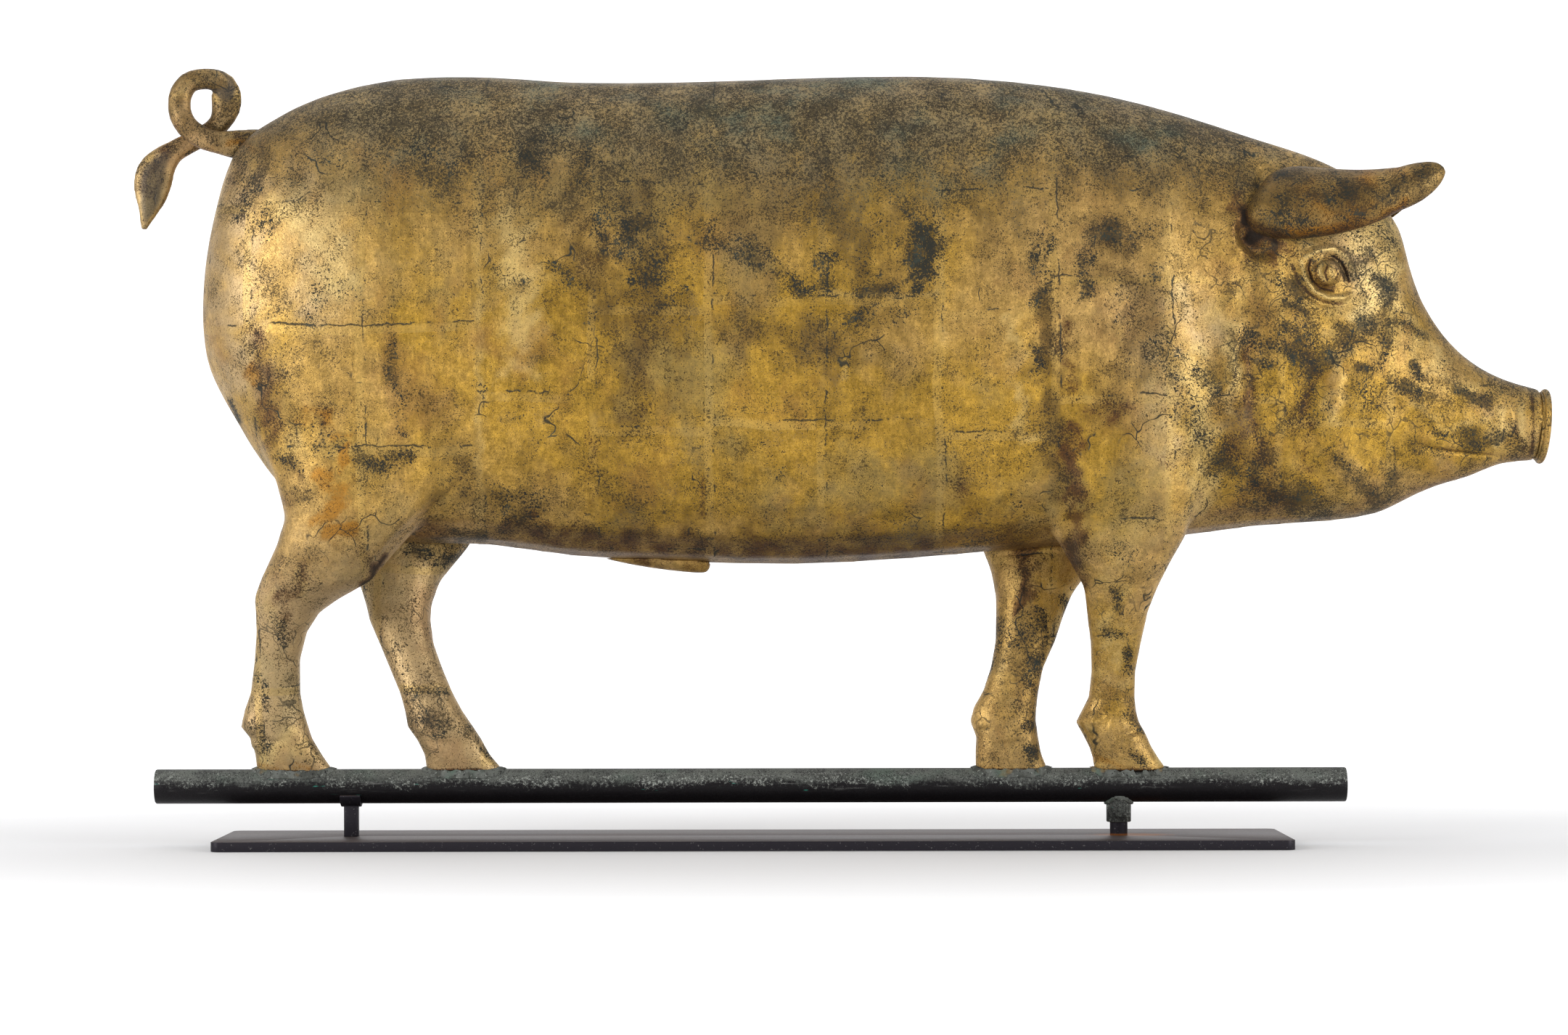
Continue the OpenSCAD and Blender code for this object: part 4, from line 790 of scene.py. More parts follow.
    # Head and legs are crackled more finely
    outer = r.most(r.ramp(x, -0.03, 0.06), r.ramp(z, 0.20, 0.15))
    cell = r.edges(warped, 74)
    found = r.ramp(r.add(r.noise(31, 3, 0.65, r.moved(2.7, 0, 8.2)), r.times(speckle, 0.06)), 0.50, 0.57)
    crackle = r.times(r.ramp(cell, 0.016, 0.042, 1.0, 0.0), r.times(found, outer))
    bare = r.most(worn, wild, chipped, hairline, r.times(crackle, 0.7))
    dark = r.mix(r.ramp(r.noise(70, 3, 0.6), 0.52, 0.74, 0.0, 0.6), s.bare, s.teal)
    seam = r.times(r.ramp(r.math("ABSOLUTE", y), 0.0006, 0.0018, 1.0, 0.0), r.ramp(z, 0.17, 0.18))
    tinted = r.laid(gold, (0.015, 0.012, 0.008), speck, 0.88)
    tinted = r.laid(tinted, dark, bare, 0.92)
    tinted = r.laid(tinted, (0.05, 0.045, 0.04), seam, 0.7)
    # Where the strokes are strongest they turn near-black: a painted shadow in the recess under the ear, in the eye's
    # grooves and in the gaps at the hooves and the snout disc
    hollow_shadow = r.ramp(r.add(layer["stain_and_shade"], r.swing(patchy, 0.3)), 1.05, 1.7)
    tinted = r.laid(tinted, (0.010, 0.006, 0.004), hollow_shadow, 0.93)

    lost = r.most(bare, hollow_shadow, r.times(speck, 0.8))
    rough = r.add(s.rough, r.times(lost, 0.20), r.swing(streak, 0.25))
    metal = r.math("SUBTRACT", s.metal, r.times(r.most(lost, dull), s.metal * 0.75))
    dents = r.bump(r.noise(24, 2, 0.5), 0.0022, 0.7)
    creased = r.bump(r.noise(70, 4, 0.65, warp=0.6), 0.0009, 0.6, dents)
    leaf = r.bump(r.add(r.times(band, 0.3), r.times(r.noise(260, 4, 0.75), 0.9)), 0.0006, 0.8, creased)
    pits = r.bump(r.math("SUBTRACT", 1.0, r.most(bare, speck)), 0.00022, 0.8, leaf)
    return r.done(tinted, rough, metal, pits, 0.18)


def weathered_tube(name, level=None):
    """Black tube with a grey crown, or one grey level, with fine pale specks and a few green scratches."""
    s = settings("stand")
    r = Recipe(name)
    _, _, z = r.axes()
    up = r.math("DIVIDE", r.add(z, -TUBE_MID.z), TUBE_R) if level is None else level
    wander = r.add(up, r.swing(r.noise(1, 4, 0.65, r.stretched((30, 70, 70))), 1.2))
    grain = r.noise(560, 3, 0.75)
    fine = r.noise(1300, 2, 0.6)
    patch = r.noise(60, 4, 0.65)
    lines = r.noise(1, 3, 0.65, r.stretched((24, 340, 340)))
    crown = r.ramp(r.add(wander, r.swing(grain, 0.9)), 0.0, 0.75)
    tint = r.mix(crown, s.tube_black, s.patina)
    tint = r.laid(tint, (0.050, 0.052, 0.050), r.times(r.ramp(patch, 0.42, 0.66), r.times(crown, 0.55)))
    tint = r.laid(tint, s.verdigris, r.times(r.ramp(r.noise(17, 3, 0.6), 0.5, 0.68), r.times(crown, 0.7)))
    belt = r.times(r.ramp(wander, -0.25, 0.25), r.ramp(wander, 0.45, 0.95, 1.0, 0.45))
    belt = r.times(belt, r.ramp(r.add(patch, r.times(r.noise(9, 2), 0.6)), 0.55, 0.95))
    pale = r.times(r.ramp(r.add(grain, r.swing(fine, 0.5), r.times(belt, 0.10)), 0.61, 0.67), belt)
    tint = r.laid(tint, s.chalk, pale, 0.8)
    brushed = r.times(r.ramp(lines, 0.60, 0.70), r.times(r.ramp(wander, -0.5, 0.1), 0.35))
    tint = r.laid(tint, (0.22, 0.22, 0.21), brushed)
    dark = r.ramp(r.add(fine, r.times(patch, 0.25)), 0.66, 0.72)
    tint = r.laid(tint, (0.010, 0.009, 0.010), dark, 0.85)
    fleck = r.noise(1, 2, 0.6, r.stretched((46, 300, 300), (7, 0, 0)))
    fleck = r.times(r.ramp(fleck, 0.71, 0.76), r.times(r.ramp(wander, -0.7, -0.1), r.ramp(wander, 0.7, 0.3)))
    tint = r.laid(tint, s.green, fleck, 0.8)
    rough = r.add(0.46, r.times(crown, 0.24))
    bump = r.bump(r.add(r.times(grain, 0.5), r.times(patch, 0.8)), 0.0006, 0.7)
    return r.done(tint, rough, 0.25, bump, 0.25)


def solder():
    """Dull grey solder with dark pits and a breath of green."""
    s = settings("stand")
    r = Recipe("solder")
    grain = r.noise(480, 4, 0.75)
    patch = r.noise(110, 3, 0.6)
    tint = r.mix(r.ramp(patch, 0.38, 0.62), (0.055, 0.058, 0.050), s.patina)
    tint = r.laid(tint, s.verdigris, r.ramp(r.noise(60, 2, 0.6), 0.5, 0.7))
    tint = r.laid(tint, (0.014, 0.013, 0.013), r.ramp(grain, 0.56, 0.64))
    tint = r.laid(tint, s.chalk, r.ramp(r.noise(620, 2, 0.6), 0.64, 0.70), 0.6)
    gold = r.ramp(r.noise(75, 2, 0.6, r.moved(0, 2, 0)), 0.6, 0.72)
    tint = r.laid(tint, (0.22, 0.14, 0.045), gold, 0.5)
    return r.done(tint, r.add(0.5, r.times(grain, 0.3)), 0.3, r.bump(r.add(grain, patch), 0.0007, 0.8), 0.3)


def black_steel():
    """Blackened steel, browner and scratched on upward faces, with rust round the spindle."""
    s = settings("stand")
    r = Recipe("blackened_steel")
    x, y, z = r.axes()
    up = r.node("SeparateXYZ", {0: r.node("NewGeometry").outputs["Normal"]}).outputs[2]
    face = r.ramp(up, 0.6, 0.95)
    grain = r.noise(700, 2, 0.6)
    cloud = r.noise(14, 4, 0.65, r.stretched((0.5, 1.6, 1)))
    scratch = r.noise(1, 3, 0.7, r.stretched((9, 420, 420)))
    tint = r.mix(r.times(face, r.ramp(cloud, 0.25, 0.7, 0.45, 1.0)), s.black, s.brown)
    tint = r.laid(tint, (0.20, 0.17, 0.15), r.times(r.ramp(scratch, 0.58, 0.72), r.times(face, 0.5)))
    tint = r.laid(tint, (0.035, 0.030, 0.030), r.times(r.ramp(scratch, 0.42, 0.28), r.times(face, 0.6)))
    tint = r.laid(tint, (0.30, 0.29, 0.28), r.ramp(grain, 0.66, 0.72), 0.35)
    reach = r.reach(r.times(r.add(x, -0.008), 0.55), y)
    rust = r.ramp(r.add(reach, r.swing(r.noise(150, 4, 0.7), 0.016)), 0.008, 0.019, 1.0, 0.0)
    tint = r.laid(tint, s.rust, r.times(rust, r.ramp(z, 0.0078, 0.0067)))
    rough = r.add(0.36, r.times(r.add(cloud, grain), 0.16))
    return r.done(tint, rough, 0.5, r.bump(r.add(grain, r.times(scratch, 0.5)), 0.00018, 0.6), 0.35)


def bare_steel():
    """Turned steel with fine rings and a little tarnish."""
    r = Recipe("bare_steel")
    rings = r.noise(1, 2, 0.5, r.stretched((30, 30, 2200)))
    cloud = r.noise(160, 3, 0.6)
    tint = r.mix(r.ramp(cloud, 0.4, 0.7), (0.52, 0.52, 0.54), (0.30, 0.28, 0.26))
    return r.done(tint, r.add(0.24, r.times(rings, 0.2)), 0.95, r.bump(rings, 0.0001, 0.5))


def paper(name, light):
    """Pale studio paper with a faint tooth, lit a little from behind, and less near the stand, which paints a soft
    shadow round it.
    """
    s = settings("stage")
    r = Recipe(name)
    x, y, _ = r.axes()
    reach = r.reach(r.times(r.add(x, 0.25), 0.5), y)
    tone = r.ramp(r.noise(2.5, 2), 0.2, 0.8, 0.985, 1.0)
    tint = r.mix(tone, [value * 0.97 for value in s.paper], s.paper)
    r.shader.inputs["Emission Color"].default_value = (1, 1, 1, 1)
    # The floor gives off less light towards the stand: a painted soft shadow round it
    r.put(r.shader.inputs["Emission Strength"], r.ramp(reach, 0.1, 0.9, light, s.far_light))
    return r.done(tint, 0.8, 0.0, r.bump(r.noise(900), 0.0002, 0.1))


MATERIALS = {}


def material(name):
    """The material of that name, made when it is first asked for."""
    makers = {
        "gilding": lambda: gilding("gilded_copper"),
        "horn": lambda: gilding("gilded_ear", 0.68),
        "tube": lambda: weathered_tube("weathered_tube"),
        "sleeve": lambda: weathered_tube("weathered_sleeve", 0.42),
        "solder": solder,
        "black": black_steel,
        "steel": bare_steel,
        "floor": lambda: paper("studio_floor", settings("stage").painted_shadow_light),
        "backdrop": lambda: paper("studio_backdrop", settings("stage").backdrop_light),
    }
    if name not in MATERIALS:
        MATERIALS[name] = makers[name]()
    return MATERIALS[name]


# The formed sheet of body and legs

# The open ends of the shells lie beyond these: forward of the first, and below the second
SNOUT_END = 0.280
HOOF_END = 0.0535
# Under this height the legs are formed by themselves, with a finer mesh
LEG_CEILING = 0.215
# Spots of the near side where relief wants a finer mesh: place, radius, and times the edges are split
SEATS = (
    (Vector((0.142, -0.048, 0.383)), 0.034, 2),
    (Vector((0.225, -0.02, 0.265)), 0.05, 1),
    (Vector((0.09, -0.062, 0.41)), 0.034, 1),
)


def cut_away(bm, place, normal, faces=None):
    """Cuts off what lies beyond a plane, of all faces or of some, and returns the points and edges of the cut."""
    geometry = bm.verts[:] + bm.edges[:] + bm.faces[:]
    if faces is not None:
        edges = dict.fromkeys(e for f in faces for e in f.edges)
        geometry = [*faces, *edges, *dict.fromkeys(v for f in faces for v in f.verts)]
    return bmesh.ops.bisect_plane(
        bm, geom=geometry, dist=1e-7, plane_co=place, plane_no=normal, clear_outer=True
    )["geom_cut"]


def skin_blank(voxel, ceiling=None):
    """The outer form of body and legs as one closed, even mesh, or only what lies under a ceiling."""
    bm = copied(*SHELLS)
    # Hulls close the open ends of the snout and the hooves
    ends = [[v for v in bm.verts if v.co.x > SNOUT_END]]
    for leg in LEGS:
        low, high, _ = box_of(leg + "_outer")
        low_in, high_in, _ = box_of(leg + "_inner")
        x0, x1 = min(low.x, low_in.x) - 0.01, max(high.x, high_in.x) + 0.01
        ends.append([v for v in bm.verts if v.co.z < HOOF_END and x0 < v.co.x < x1])
    for end in ends:
        bmesh.ops.convex_hull(bm, input=end)
    if ceiling is not None:
        cut_away(bm, UP * ceiling, UP)
        bmesh.ops.convex_hull(bm, input=[v for v in bm.verts if v.co.z > ceiling - 0.006])
    obj = made("skin_blank", bm)
    shaped(obj, ("REMESH", {"mode": "VOXEL", "voxel_size": voxel, "adaptivity": 0}))
    bm = taken(obj)
    most = max(len(part) for part in parts_of(bm))
    kept_parts(bm, lambda part: len(part) == most)
    return made("skin_blank", bm)


def parts_of(bm):
    """The connected parts of a mesh, each as a set of its points."""
    left = set(bm.verts)
    parts = []
    for start in bm.verts:
        if start not in left:
            continue
        left.discard(start)
        part, queue = {start}, [start]
        while queue:
            for edge in queue.pop().link_edges:
                for v in edge.verts:
                    if v in left:
                        left.discard(v)
                        part.add(v)
                        queue.append(v)
        parts.append(part)
    return parts


def kept_parts(bm, wanted):
    """Deletes the connected parts that aren't wanted."""
    drop = [v for part in parts_of(bm) if not wanted(part) for v in part]
    bmesh.ops.delete(bm, geom=drop, context="VERTS")


def no_crumb(part):
    """Whether a part is more than a crumb of the remeshing."""
    return len(part) >= CRUMB


def smoothed_skin(obj):
    """Takes the flats out of the blank: most on the trunk, least on the legs."""
    s = settings("skin")
    co = places(obj.data)
    trunk = ease(co[:, 2], 0.205, 0.275) * ease(co[:, 0], 0.20, 0.12)
    head = ease(co[:, 2], 0.19, 0.24) * ease(co[:, 0], 0.10, 0.16) * ease(co[:, 0], 0.283, 0.262)
    legs = ease(co[:, 2], 0.056, 0.066) * ease(co[:, 0], 0.283, 0.275)
    steps = []
    for name, weight, passes in (
        ("legs", legs, s.leg_passes),
        ("head", head, s.head_passes),
        ("trunk", trunk, s.trunk_passes),
    ):
        grouped(obj, name, weight)
        steps.append(("SMOOTH", {"factor": 0.5, "iterations": passes, "vertex_group": name}))
    shaped(obj, *steps)
    grow = 0.0003 + 0.0004 * head + (s.swell - 0.0003) * trunk
    placed(obj.data, places(obj.data) + normals(obj.data) * grow[:, None])
    obj.vertex_groups.clear()


def lifted(px, py, strokes, taper=0.28):
    """How far strokes whose strength is a height in mm raise each point."""
    return sum(height * MM * brush(px, py, line, width, taper) for line, width, height in strokes)


def carved(mesh, strokes):
    """Raises and sinks a mesh along strokes, on faces that look to either side."""
    co = places(mesh)
    n = normals(mesh)
    facing = ease(np.abs(n[:, 1]), 0.05, 0.30) * (np.sign(n[:, 1]) == np.sign(co[:, 1]))
    placed(mesh, co + n * (lifted(*on_photo(co), strokes) * facing)[:, None])


def eye_carved(mesh):
    """Raises the ball of the eye, its ringed pupil and its lids."""
    co = places(mesh)
    n = normals(mesh)
    px, py = on_photo(co)
    x, y, radius, height = EYE_BALL
    out = np.hypot(px - x, py - y) / radius
    lift = height * MM * np.sqrt(np.clip(1 - out * out, 0, 1))
    x, y, radius, height = PUPIL
    out = np.hypot(px - x, py - y)
    lift += height * MM * np.exp(-(((out - radius) / 2.2) ** 2)) + 0.5 * MM * ease(out, radius, radius - 3)
    lift += lifted(px, py, EYE_LINES, 0.2)
    placed(mesh, co + n * (lift * ease(np.abs(n[:, 1]), 0.05, 0.3))[:, None])


def refined(bm, spots):
    """Splits the edges round each spot, given as place, radius and times."""
    for place, radius, times in spots:
        for _ in range(times):
            inside = {v for v in bm.verts if (v.co - place).length < radius}
            edges = [e for e in bm.edges if e.verts[0] in inside and e.verts[1] in inside]
            bmesh.ops.subdivide_edges(bm, edges=edges, cuts=1, use_grid_fill=True)


def sliced(source, *planes):
    """A copy of the mesh cut back to the inner side of each plane, with its cuts closed."""
    bm = source.copy()
    for place, normal in planes:
        cut = [g for g in cut_away(bm, place, normal) if isinstance(g, bmesh.types.BMEdge) and g.is_valid]
        if cut:
            bmesh.ops.holes_fill(bm, edges=cut, sides=0)
    return bm


def outward_of(leg):
    """The side of the vane that a leg stands on."""
    return -1 if leg.startswith("near") else 1


def forward_of(leg):
    """The way along the vane from a leg to the other pair."""
    return 1 if "hind" in leg else -1


def top_of(leg):
    """The height at which a leg's own pieces meet the body."""
    return box_of(leg + "_outer")[1].z


def leg_middle(leg):
    """Height by height, how far out the middle of a leg lies."""
    bm = copied(leg + "_outer", leg + "_inner")
    co = np.array([v.co for v in bm.verts])
    bm.free()
    rounded = np.round(co[:, 2], 3)
    levels = [z for z in np.unique(rounded) if np.count_nonzero(rounded == z) > 12]
    rings = [co[rounded == z, 1] for z in levels]
    return np.array(levels), np.array([(y.min() + y.max()) / 2 for y in rings])


def sheared(bm, levels, middle, way):
    """Stands a leaning leg upright, or leans it back."""
    for v in bm.verts:
        v.co.y += way * float(np.interp(v.co.z, levels, middle))


class WEATHERVANE_OT_skin(bpy.types.Operator):
    """Forms the half shells of the body and the legs in sheet copper"""

    bl_idname = "weathervane.skin"
    bl_label = "Body and legs"

    def execute(self, context):
        s = settings("skin")
        blank = skin_blank(s.voxel)
        smoothed_skin(blank)
        carved(blank.data, RELIEF)
        bm = taken(blank)
        refined(bm, SEATS)
        refined(bm, [(place * Vector((1, -1, 1)), radius, times) for place, radius, times in SEATS])
        blank = made("skin_blank", bm)
        shaped(blank, ("SMOOTH", {"factor": 0.5, "iterations": 3}))
        carved(blank.data, DETAIL)
        eye_carved(blank.data)
        body = self.painted_mesh(blank)
        limbs = skin_blank(s.leg_voxel, LEG_CEILING)
        shaped(limbs, ("SMOOTH", {"factor": 0.5, "iterations": s.leg_passes}))
        placed(limbs.data, places(limbs.data) + normals(limbs.data) * 0.0005)
        carved(limbs.data, RELIEF + DETAIL)
        self.drawn_up(limbs.data, body)
        legs = self.painted_mesh(limbs)
        self.split(body, legs)
        body.free()
        legs.free()
        return {"FINISHED"}

    def drawn_up(self, mesh, body):
        """Lets the tops of the legs run into the sheet of the body."""
        tree = BVHTree.FromBMesh(body)
        co = places(mesh)
        pull = ease(co[:, 2], 0.150, 0.169)
        for i in np.nonzero((pull > 0) & (co[:, 2] < 0.195))[0]:
            spot = tree.find_nearest(Vector(co[i]), 0.006)[0]
            if spot is not None:
                co[i] += (np.array(spot) - co[i]) * pull[i]
        placed(mesh, co)

    def painted_mesh(self, blank):
        """The painted mesh of a blank, kept inside the model's width."""
        co = places(blank.data)
        limit = CAD_BOX[1][1] - 0.0002
        co[:, 1] = np.clip(co[:, 1], -limit, limit)
        placed(blank.data, co)
        painted(blank.data)
        return taken(blank)

    def split(self, body, limbs):
        """Cuts the skin into the pieces that the real one is soldered from."""
        for leg in LEGS:
            self.leg_halves(limbs, leg)
        for side, name in ((-1, "body_near"), (1, "body_far")):
            self.body_half(body, side, name)

    def piece(self, node, bm):
        obj = made(node + "_sheet", bm, material("gilding"))
        finished(crisp(obj), "vane", node)

    def leg_halves(self, limbs, leg):
        """Parts a leg from the others, and cuts it in two along its leaning middle."""
        outward = Vector((0, outward_of(leg), 0))
        leg_skin = sliced(limbs, (UP * top_of(leg), UP), (MIDDLE, AHEAD * forward_of(leg)))
        # Hooves stand across the middle of the vane, so a leg's side is that of its highest point
        kept_parts(leg_skin, lambda part: no_crumb(part) and outward.dot(max(part, key=lambda v: v.co.z).co) > 0)
        levels, middle = leg_middle(leg)
        sheared(leg_skin, levels, middle, -1)
        for half, normal in (("outer", -outward), ("inner", outward)):
            bm = sliced(leg_skin, (Vector(), normal))
            kept_parts(bm, no_crumb)
            sheared(bm, levels, middle, 1)
            self.piece(f"{leg}_{half}", bm)
        leg_skin.free()

    def body_half(self, body, side, node):
        """Cuts the body along its seam, and its legs off where the legs' own pieces begin."""
        bm = body.copy()
        seam = settings("skin").seam
        for v in cut_away(bm, Vector(), Vector((0, -side, 0))):
            if isinstance(v, bmesh.types.BMVert) and v.co.z > 0.2:
                v.co.z -= seam if v.co.z > 0.33 else -seam
        for leg in LEGS:
            if outward_of(leg) == side:
                way, top = forward_of(leg), top_of(leg)
                low = [f for f in bm.faces if (MIDDLE.x - f.calc_center_median().x) * way > 0]
                low = [f for f in low if min(v.co.z for v in f.verts) < top + 0.01]
                cut_away(bm, UP * top, -UP, low)
        bmesh.ops.holes_fill(bm, edges=[e for e in bm.edges if e.is_boundary], sides=0)
        self.piece(node, bm)


def leaf_piece(node, name, tone, levels):
    """A smooth piece from a CAD node's own facets."""
    bm = copied(node)
    bmesh.ops.join_triangles(
        bm, faces=bm.faces, angle_face_threshold=math.radians(40), angle_shape_threshold=math.radians(60)
    )
    obj = made(name, bm, material(tone))
    shaped(obj, ("SUBSURF", {"levels": levels, "render_levels": levels}))
    return obj


def voxel_piece(node, name, tone, voxel, passes):
    """A smooth closed piece with the form of a CAD node."""
    obj = made(name, copied(node), material(tone))
    shaped(
        obj,
        ("REMESH", {"mode": "VOXEL", "voxel_size": voxel, "adaptivity": 0}),
        ("SMOOTH", {"factor": 0.5, "iterations": passes}),
    )
    bm = taken(obj)
    kept_parts(bm, no_crumb)
    return made(name, bm, material(tone))


class WEATHERVANE_OT_ears(bpy.types.Operator):
    """Forms the two ears"""

    bl_idname = "weathervane.ears"
    bl_label = "Ears"

    def execute(self, context):
        for node in ("ear_near", "ear_far"):
            obj = leaf_piece(node, node + "_leaf", "horn", 2)
            self.blunted(obj.data)
            painted(obj.data, EAR_WEATHER, 0.35)
            finished(obj, "vane", node)
        return {"FINISHED"}

    def blunted(self, mesh, reach=0.030, swell=0.45):
        """Rounds off the tip of an ear."""
        co = places(mesh)
        into = co[:, 0].max() - co[:, 0]
        levels = np.linspace(0, reach, 13)
        mid = []
        for level in levels:
            z = co[np.abs(into - level) < 0.002, 2]
            mid.append((z.min() + z.max()) / 2)
        near = into < reach
        middle = np.interp(into, levels, mid)
        grow = swell * (1 - into / reach) * ease(into, 0, 0.001)
        co[:, 2] = np.where(near, co[:, 2] + (co[:, 2] - middle) * grow, co[:, 2])
        placed(mesh, co)


class WEATHERVANE_OT_tail(bpy.types.Operator):
    """Forms the curled tail and the sheath"""

    bl_idname = "weathervane.tail"
    bl_label = "Tail and sheath"

    def execute(self, context):
        fine = settings("skin").fine_voxel
        for node, passes in (("tail", 5), ("sheath", 4)):
            obj = voxel_piece(node, node + "_formed", "gilding", fine, passes)
            painted(obj.data)
            finished(obj, "vane", node)
        return {"FINISHED"}


def spun(profile, centre, axis, across, steps=96):
    """A closed ring from a profile of (along the axis, away from it) that is spun round the axis."""
    bm = bmesh.new()
    verts = [bm.verts.new(centre + axis * a + across * r) for a, r in profile]
    edges = [bm.edges.new(pair) for pair in zip(verts[:-1], verts[1:])]
    bmesh.ops.spin(
        bm, geom=verts + edges, cent=centre, axis=axis, dvec=(0, 0, 0), angle=math.tau, steps=steps, use_merge=True
    )
    bmesh.ops.remove_doubles(bm, verts=bm.verts, dist=WELD / 2)
    bmesh.ops.recalc_face_normals(bm, faces=bm.faces)
    return bm


class WEATHERVANE_OT_snout(bpy.types.Operator):
    """Spins the snout disc with its rolled rim and dents its nostrils"""

    bl_idname = "weathervane.snout"
    bl_label = "Snout disc"

    def execute(self, context):
        low, high, mid = box_of("snout_disc")
        lean = math.radians(4.5)
        axis = Vector((math.cos(lean), 0, -math.sin(lean)))
        across = Vector((math.sin(lean), 0, math.cos(lean)))
        thick = 0.006
        centre = mid - axis * (thick / 2 + 0.0001)
        bm = spun(self.section((high.y - low.y) / 2, thick), centre, axis, across)
        obj = made("snout_disc_spun", bm, material("gilding"))
        self.dented(obj.data, centre, np.array(axis), np.array(across))
        painted(obj.data)
        finished(obj, "vane", "snout_disc")
        return {"FINISHED"}

    def section(self, radius, thick, rim=0.0022, face=0.0034, crown=0.0004):
        """Half of a section through the disc: its flat back, its rolled rim and its face, which rises to a crown."""
        points = [(0.0, 0.0), (0.0, radius - 0.0030), (0.0006, radius - rim)]
        for i in range(13):
            a = math.radians(-125 + 290 * i / 12)
            points.append((thick - rim + rim * math.sin(a), radius - rim + rim * math.cos(a)))
        inner = radius - 2 * rim
        points.append((face, inner - 0.0008))
        return points + [(face + crown * (1 - i / 12), (inner - 0.001) * (1 - i / 16)) for i in range(1, 17)]

    def dented(self, mesh, centre, axis, across, apart=0.009, deep=0.0026, lip=0.0007):
        """Sinks two nostrils into the face, and raises a lip round each."""
        co = places(mesh)
        d = co - np.array(centre)
        dent = np.zeros(len(co))
        for side in (-1, 1):
            reach = np.hypot(d[:, 1] - side * apart, d @ across)
            ring = lip * np.exp(-(((reach - 0.0056) / 0.0012) ** 2))
            dent += np.where(d @ axis > 0.001, ring - deep * ease(reach, 0.0046, 0.0030), 0)
        placed(mesh, co + dent[:, None] * axis)


class WEATHERVANE_OT_solder(bpy.types.Operator):
    """Lays the solder round the hooves and the sleeve"""

    bl_idname = "weathervane.solder"
    bl_label = "Solder"

    def execute(self, context):
        for node, voxel in (("hoof_solder", 0.0005), ("socket_solder", 0.0008)):
            obj = voxel_piece(node, node + "_bead", "solder", voxel, 4)
            finished(obj, "vane", node)
        return {"FINISHED"}


class WEATHERVANE_OT_tube(bpy.types.Operator):
    """Spins the carrier tube and its sleeve, and finishes the bearing cup"""

    bl_idname = "weathervane.tube"
    bl_label = "Tube and sleeve"

    def execute(self, context):
        tube = spun(self.tube_section(), Vector((0, TUBE_MID.y, TUBE_MID.z)), AHEAD, UP)
        finished(made("carrier_tube_drawn", tube, material("tube")), "vane", "carrier_tube")
        low, high, mid = box_of("socket_sleeve")
        sleeve = spun(self.sleeve_section(low, high), Vector((mid.x, mid.y, 0)), UP, AHEAD, 64)
        finished(made("socket_sleeve_turned", sleeve, material("sleeve")), "vane", "socket_sleeve")
        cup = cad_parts["bearing_cup"].data.materials
        cup.clear()
        cup.append(material("steel"))
        return {"FINISHED"}

    def tube_section(self, wall=0.0016, lip=0.0008, runs=120):
        """The section of the tube's wall, which is eased at both ends."""
        x0, x1 = TUBE_LOW.x, TUBE_HIGH.x
        bore = TUBE_R - wall
        along = [x0 + lip, *(x0 + (x1 - x0) * i / runs for i in range(1, runs)), x1 - lip]
        rear = [(x0 + lip, bore), (x0, bore + lip * 0.6), (x0, TUBE_R - lip * 0.6)]
        fore = [(x1, TUBE_R - lip * 0.6), (x1, bore + lip * 0.6), (x1 - lip, bore)]
        return [*rear, *((x, TUBE_R) for x in along), *fore, rear[0]]

    def sleeve_section(self, low, high, wall=0.0023, edge=0.0005):
        """The section of the sleeve's wall, with broken edges at its mouth."""
        outer = (high.x - low.x) / 2
        bore = outer - wall
        mouth = [(low.z + edge, bore), (low.z, bore + edge), (low.z, outer - edge), (low.z + edge, outer)]
        return [*mouth, (high.z, outer), (high.z, bore), mouth[0]]


class WEATHERVANE_OT_stand(bpy.types.Operator):
    """Breaks the edges of the steel stand and finishes it"""

    bl_idname = "weathervane.stand"
    bl_label = "Stand"

    def execute(self, context):
        arris = settings("stand").arris
        for node, tone, width in (
            ("base_plate", "black", arris),
            ("spindle", "black", arris / 2),
            ("rear_post", "black", arris / 2),
            ("cradle", "black", arris),
            ("stand_screws", "steel", arris / 6),
        ):
            bm = copied(node)
            bmesh.ops.dissolve_limit(
                bm, angle_limit=math.radians(0.6), use_dissolve_boundaries=False, verts=bm.verts, edges=bm.edges
            )
            sharp = [e for e in bm.edges if len(e.link_faces) == 2 and e.calc_face_angle() > math.radians(40)]
            bmesh.ops.bevel(
                bm,
                geom=sharp,
                offset=width,
                offset_type="OFFSET",
                affect="EDGES",
                segments=2,
                profile=0.5,
                material=-1,
                clamp_overlap=True,
            )
            obj = crisp(made(node + "_dressed", bm, material(tone)), 32)
            finished(obj, "stand", node)
        return {"FINISHED"}


def area_light(name, place, size, power):
    """A soft light that looks at the vane."""
    light = bpy.data.lights.new(name, "AREA")
    light.shape = "RECTANGLE"
    light.size, light.size_y = size
    light.energy = power
    obj = bpy.data.objects.new(name, light)
    obj.location = place
    obj.rotation_euler = (Vector((-0.2, 0, 0.3)) - Vector(place)).to_track_quat("-Z", "Y").to_euler()
    bpy.context.scene.collection.objects.link(obj)


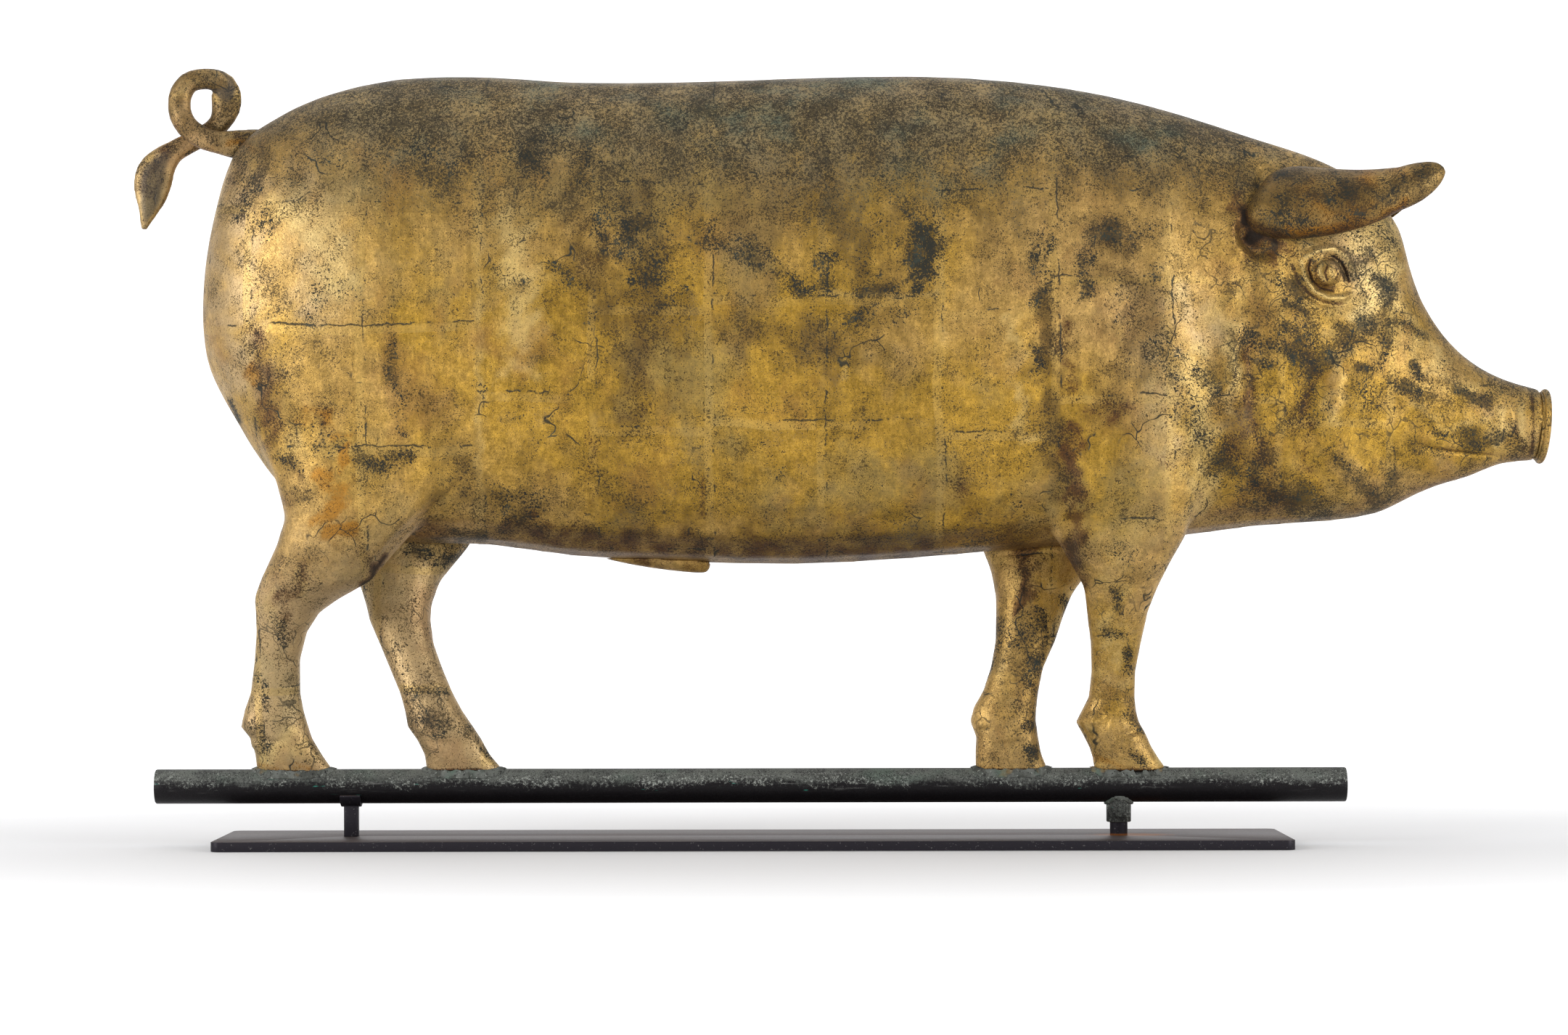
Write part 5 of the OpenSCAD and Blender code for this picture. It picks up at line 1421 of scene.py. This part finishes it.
class WEATHERVANE_OT_stage(bpy.types.Operator):
    """Sets up the pale floor, the soft lights and the camera"""

    bl_idname = "weathervane.stage"
    bl_label = "Stage"

    def execute(self, context):
        s = settings("stage")
        bm = bmesh.new()
        bmesh.ops.create_grid(bm, x_segments=24, y_segments=24, size=14)
        bmesh.ops.translate(bm, verts=bm.verts, vec=(0, 0, -0.0003))
        made("floor", bm, material("floor"))
        # The backdrop stands behind any place that the camera can take
        bm = bmesh.new()
        wall = bmesh.ops.create_grid(bm, x_segments=12, y_segments=12, size=9)["verts"]
        bmesh.ops.rotate(bm, verts=wall, matrix=Matrix.Rotation(math.radians(90), 3, "X"))
        bmesh.ops.translate(bm, verts=wall, vec=(0, 5.5, 4))
        made("backdrop", bm, material("backdrop"))
        world = bpy.data.worlds.new("studio")
        world.use_nodes = True
        sky = world.node_tree.nodes["Background"].inputs
        sky["Color"].default_value = (1, 1, 1, 1)
        sky["Strength"].default_value = s.sky
        context.scene.world = world
        area_light("key", (-2.9, -1.9, 1.15), (1.5, 1.5), s.key)
        area_light("fill", (2.5, -2.0, 0.95), (1.2, 1.4), s.key * s.fill)
        area_light("top", (-0.2, 0.3, 2.6), (2.6, 1.2), s.top)
        context.scene.view_settings.view_transform = "Standard"
        camera = bpy.data.cameras.new("camera")
        camera.sensor_width = 36
        camera.lens = camera.sensor_width * FOCUS / PHOTO_WIDTH
        camera.shift_y = (CENTRE[1] - PHOTO_HEIGHT / 2) / PHOTO_WIDTH
        camera.clip_end = 60
        obj = bpy.data.objects.new("camera", camera)
        obj.location = EYE
        obj.rotation_euler = (math.radians(90), ROLL, 0)
        context.scene.collection.objects.link(obj)
        context.scene.camera = obj
        return {"FINISHED"}


OPERATORS = (
    WEATHERVANE_OT_stage,
    WEATHERVANE_OT_skin,
    WEATHERVANE_OT_ears,
    WEATHERVANE_OT_tail,
    WEATHERVANE_OT_snout,
    WEATHERVANE_OT_solder,
    WEATHERVANE_OT_tube,
    WEATHERVANE_OT_stand,
)


class WEATHERVANE_PT_build(bpy.types.Panel):
    """Lists the steps that build the weathervane"""

    bl_idname = "WEATHERVANE_PT_build"
    bl_label = "Pig weathervane"
    bl_space_type = "VIEW_3D"
    bl_region_type = "UI"
    bl_category = "Weathervane"

    def draw(self, context):
        for operator in OPERATORS:
            self.layout.operator(operator.bl_idname)
        for name in SETTINGS:
            group = getattr(context.scene, name)
            column = self.layout.column(heading=name)
            for key in group.bl_rna.properties.keys():
                if key not in ("rna_type", "name"):
                    column.prop(group, key)


CLASSES = (*SETTINGS.values(), *OPERATORS, WEATHERVANE_PT_build)


def register():
    for cls in CLASSES:
        bpy.utils.register_class(cls)
    for name, group in SETTINGS.items():
        setattr(bpy.types.Scene, name, bpy.props.PointerProperty(type=group))


def unregister():
    for name in SETTINGS:
        delattr(bpy.types.Scene, name)
    for cls in reversed(CLASSES):
        bpy.utils.unregister_class(cls)


def main():
    register()
    for operator in OPERATORS:
        group, step = operator.bl_idname.split(".")
        getattr(getattr(bpy.ops, group), step)()


if __name__ == "__main__":
    main()
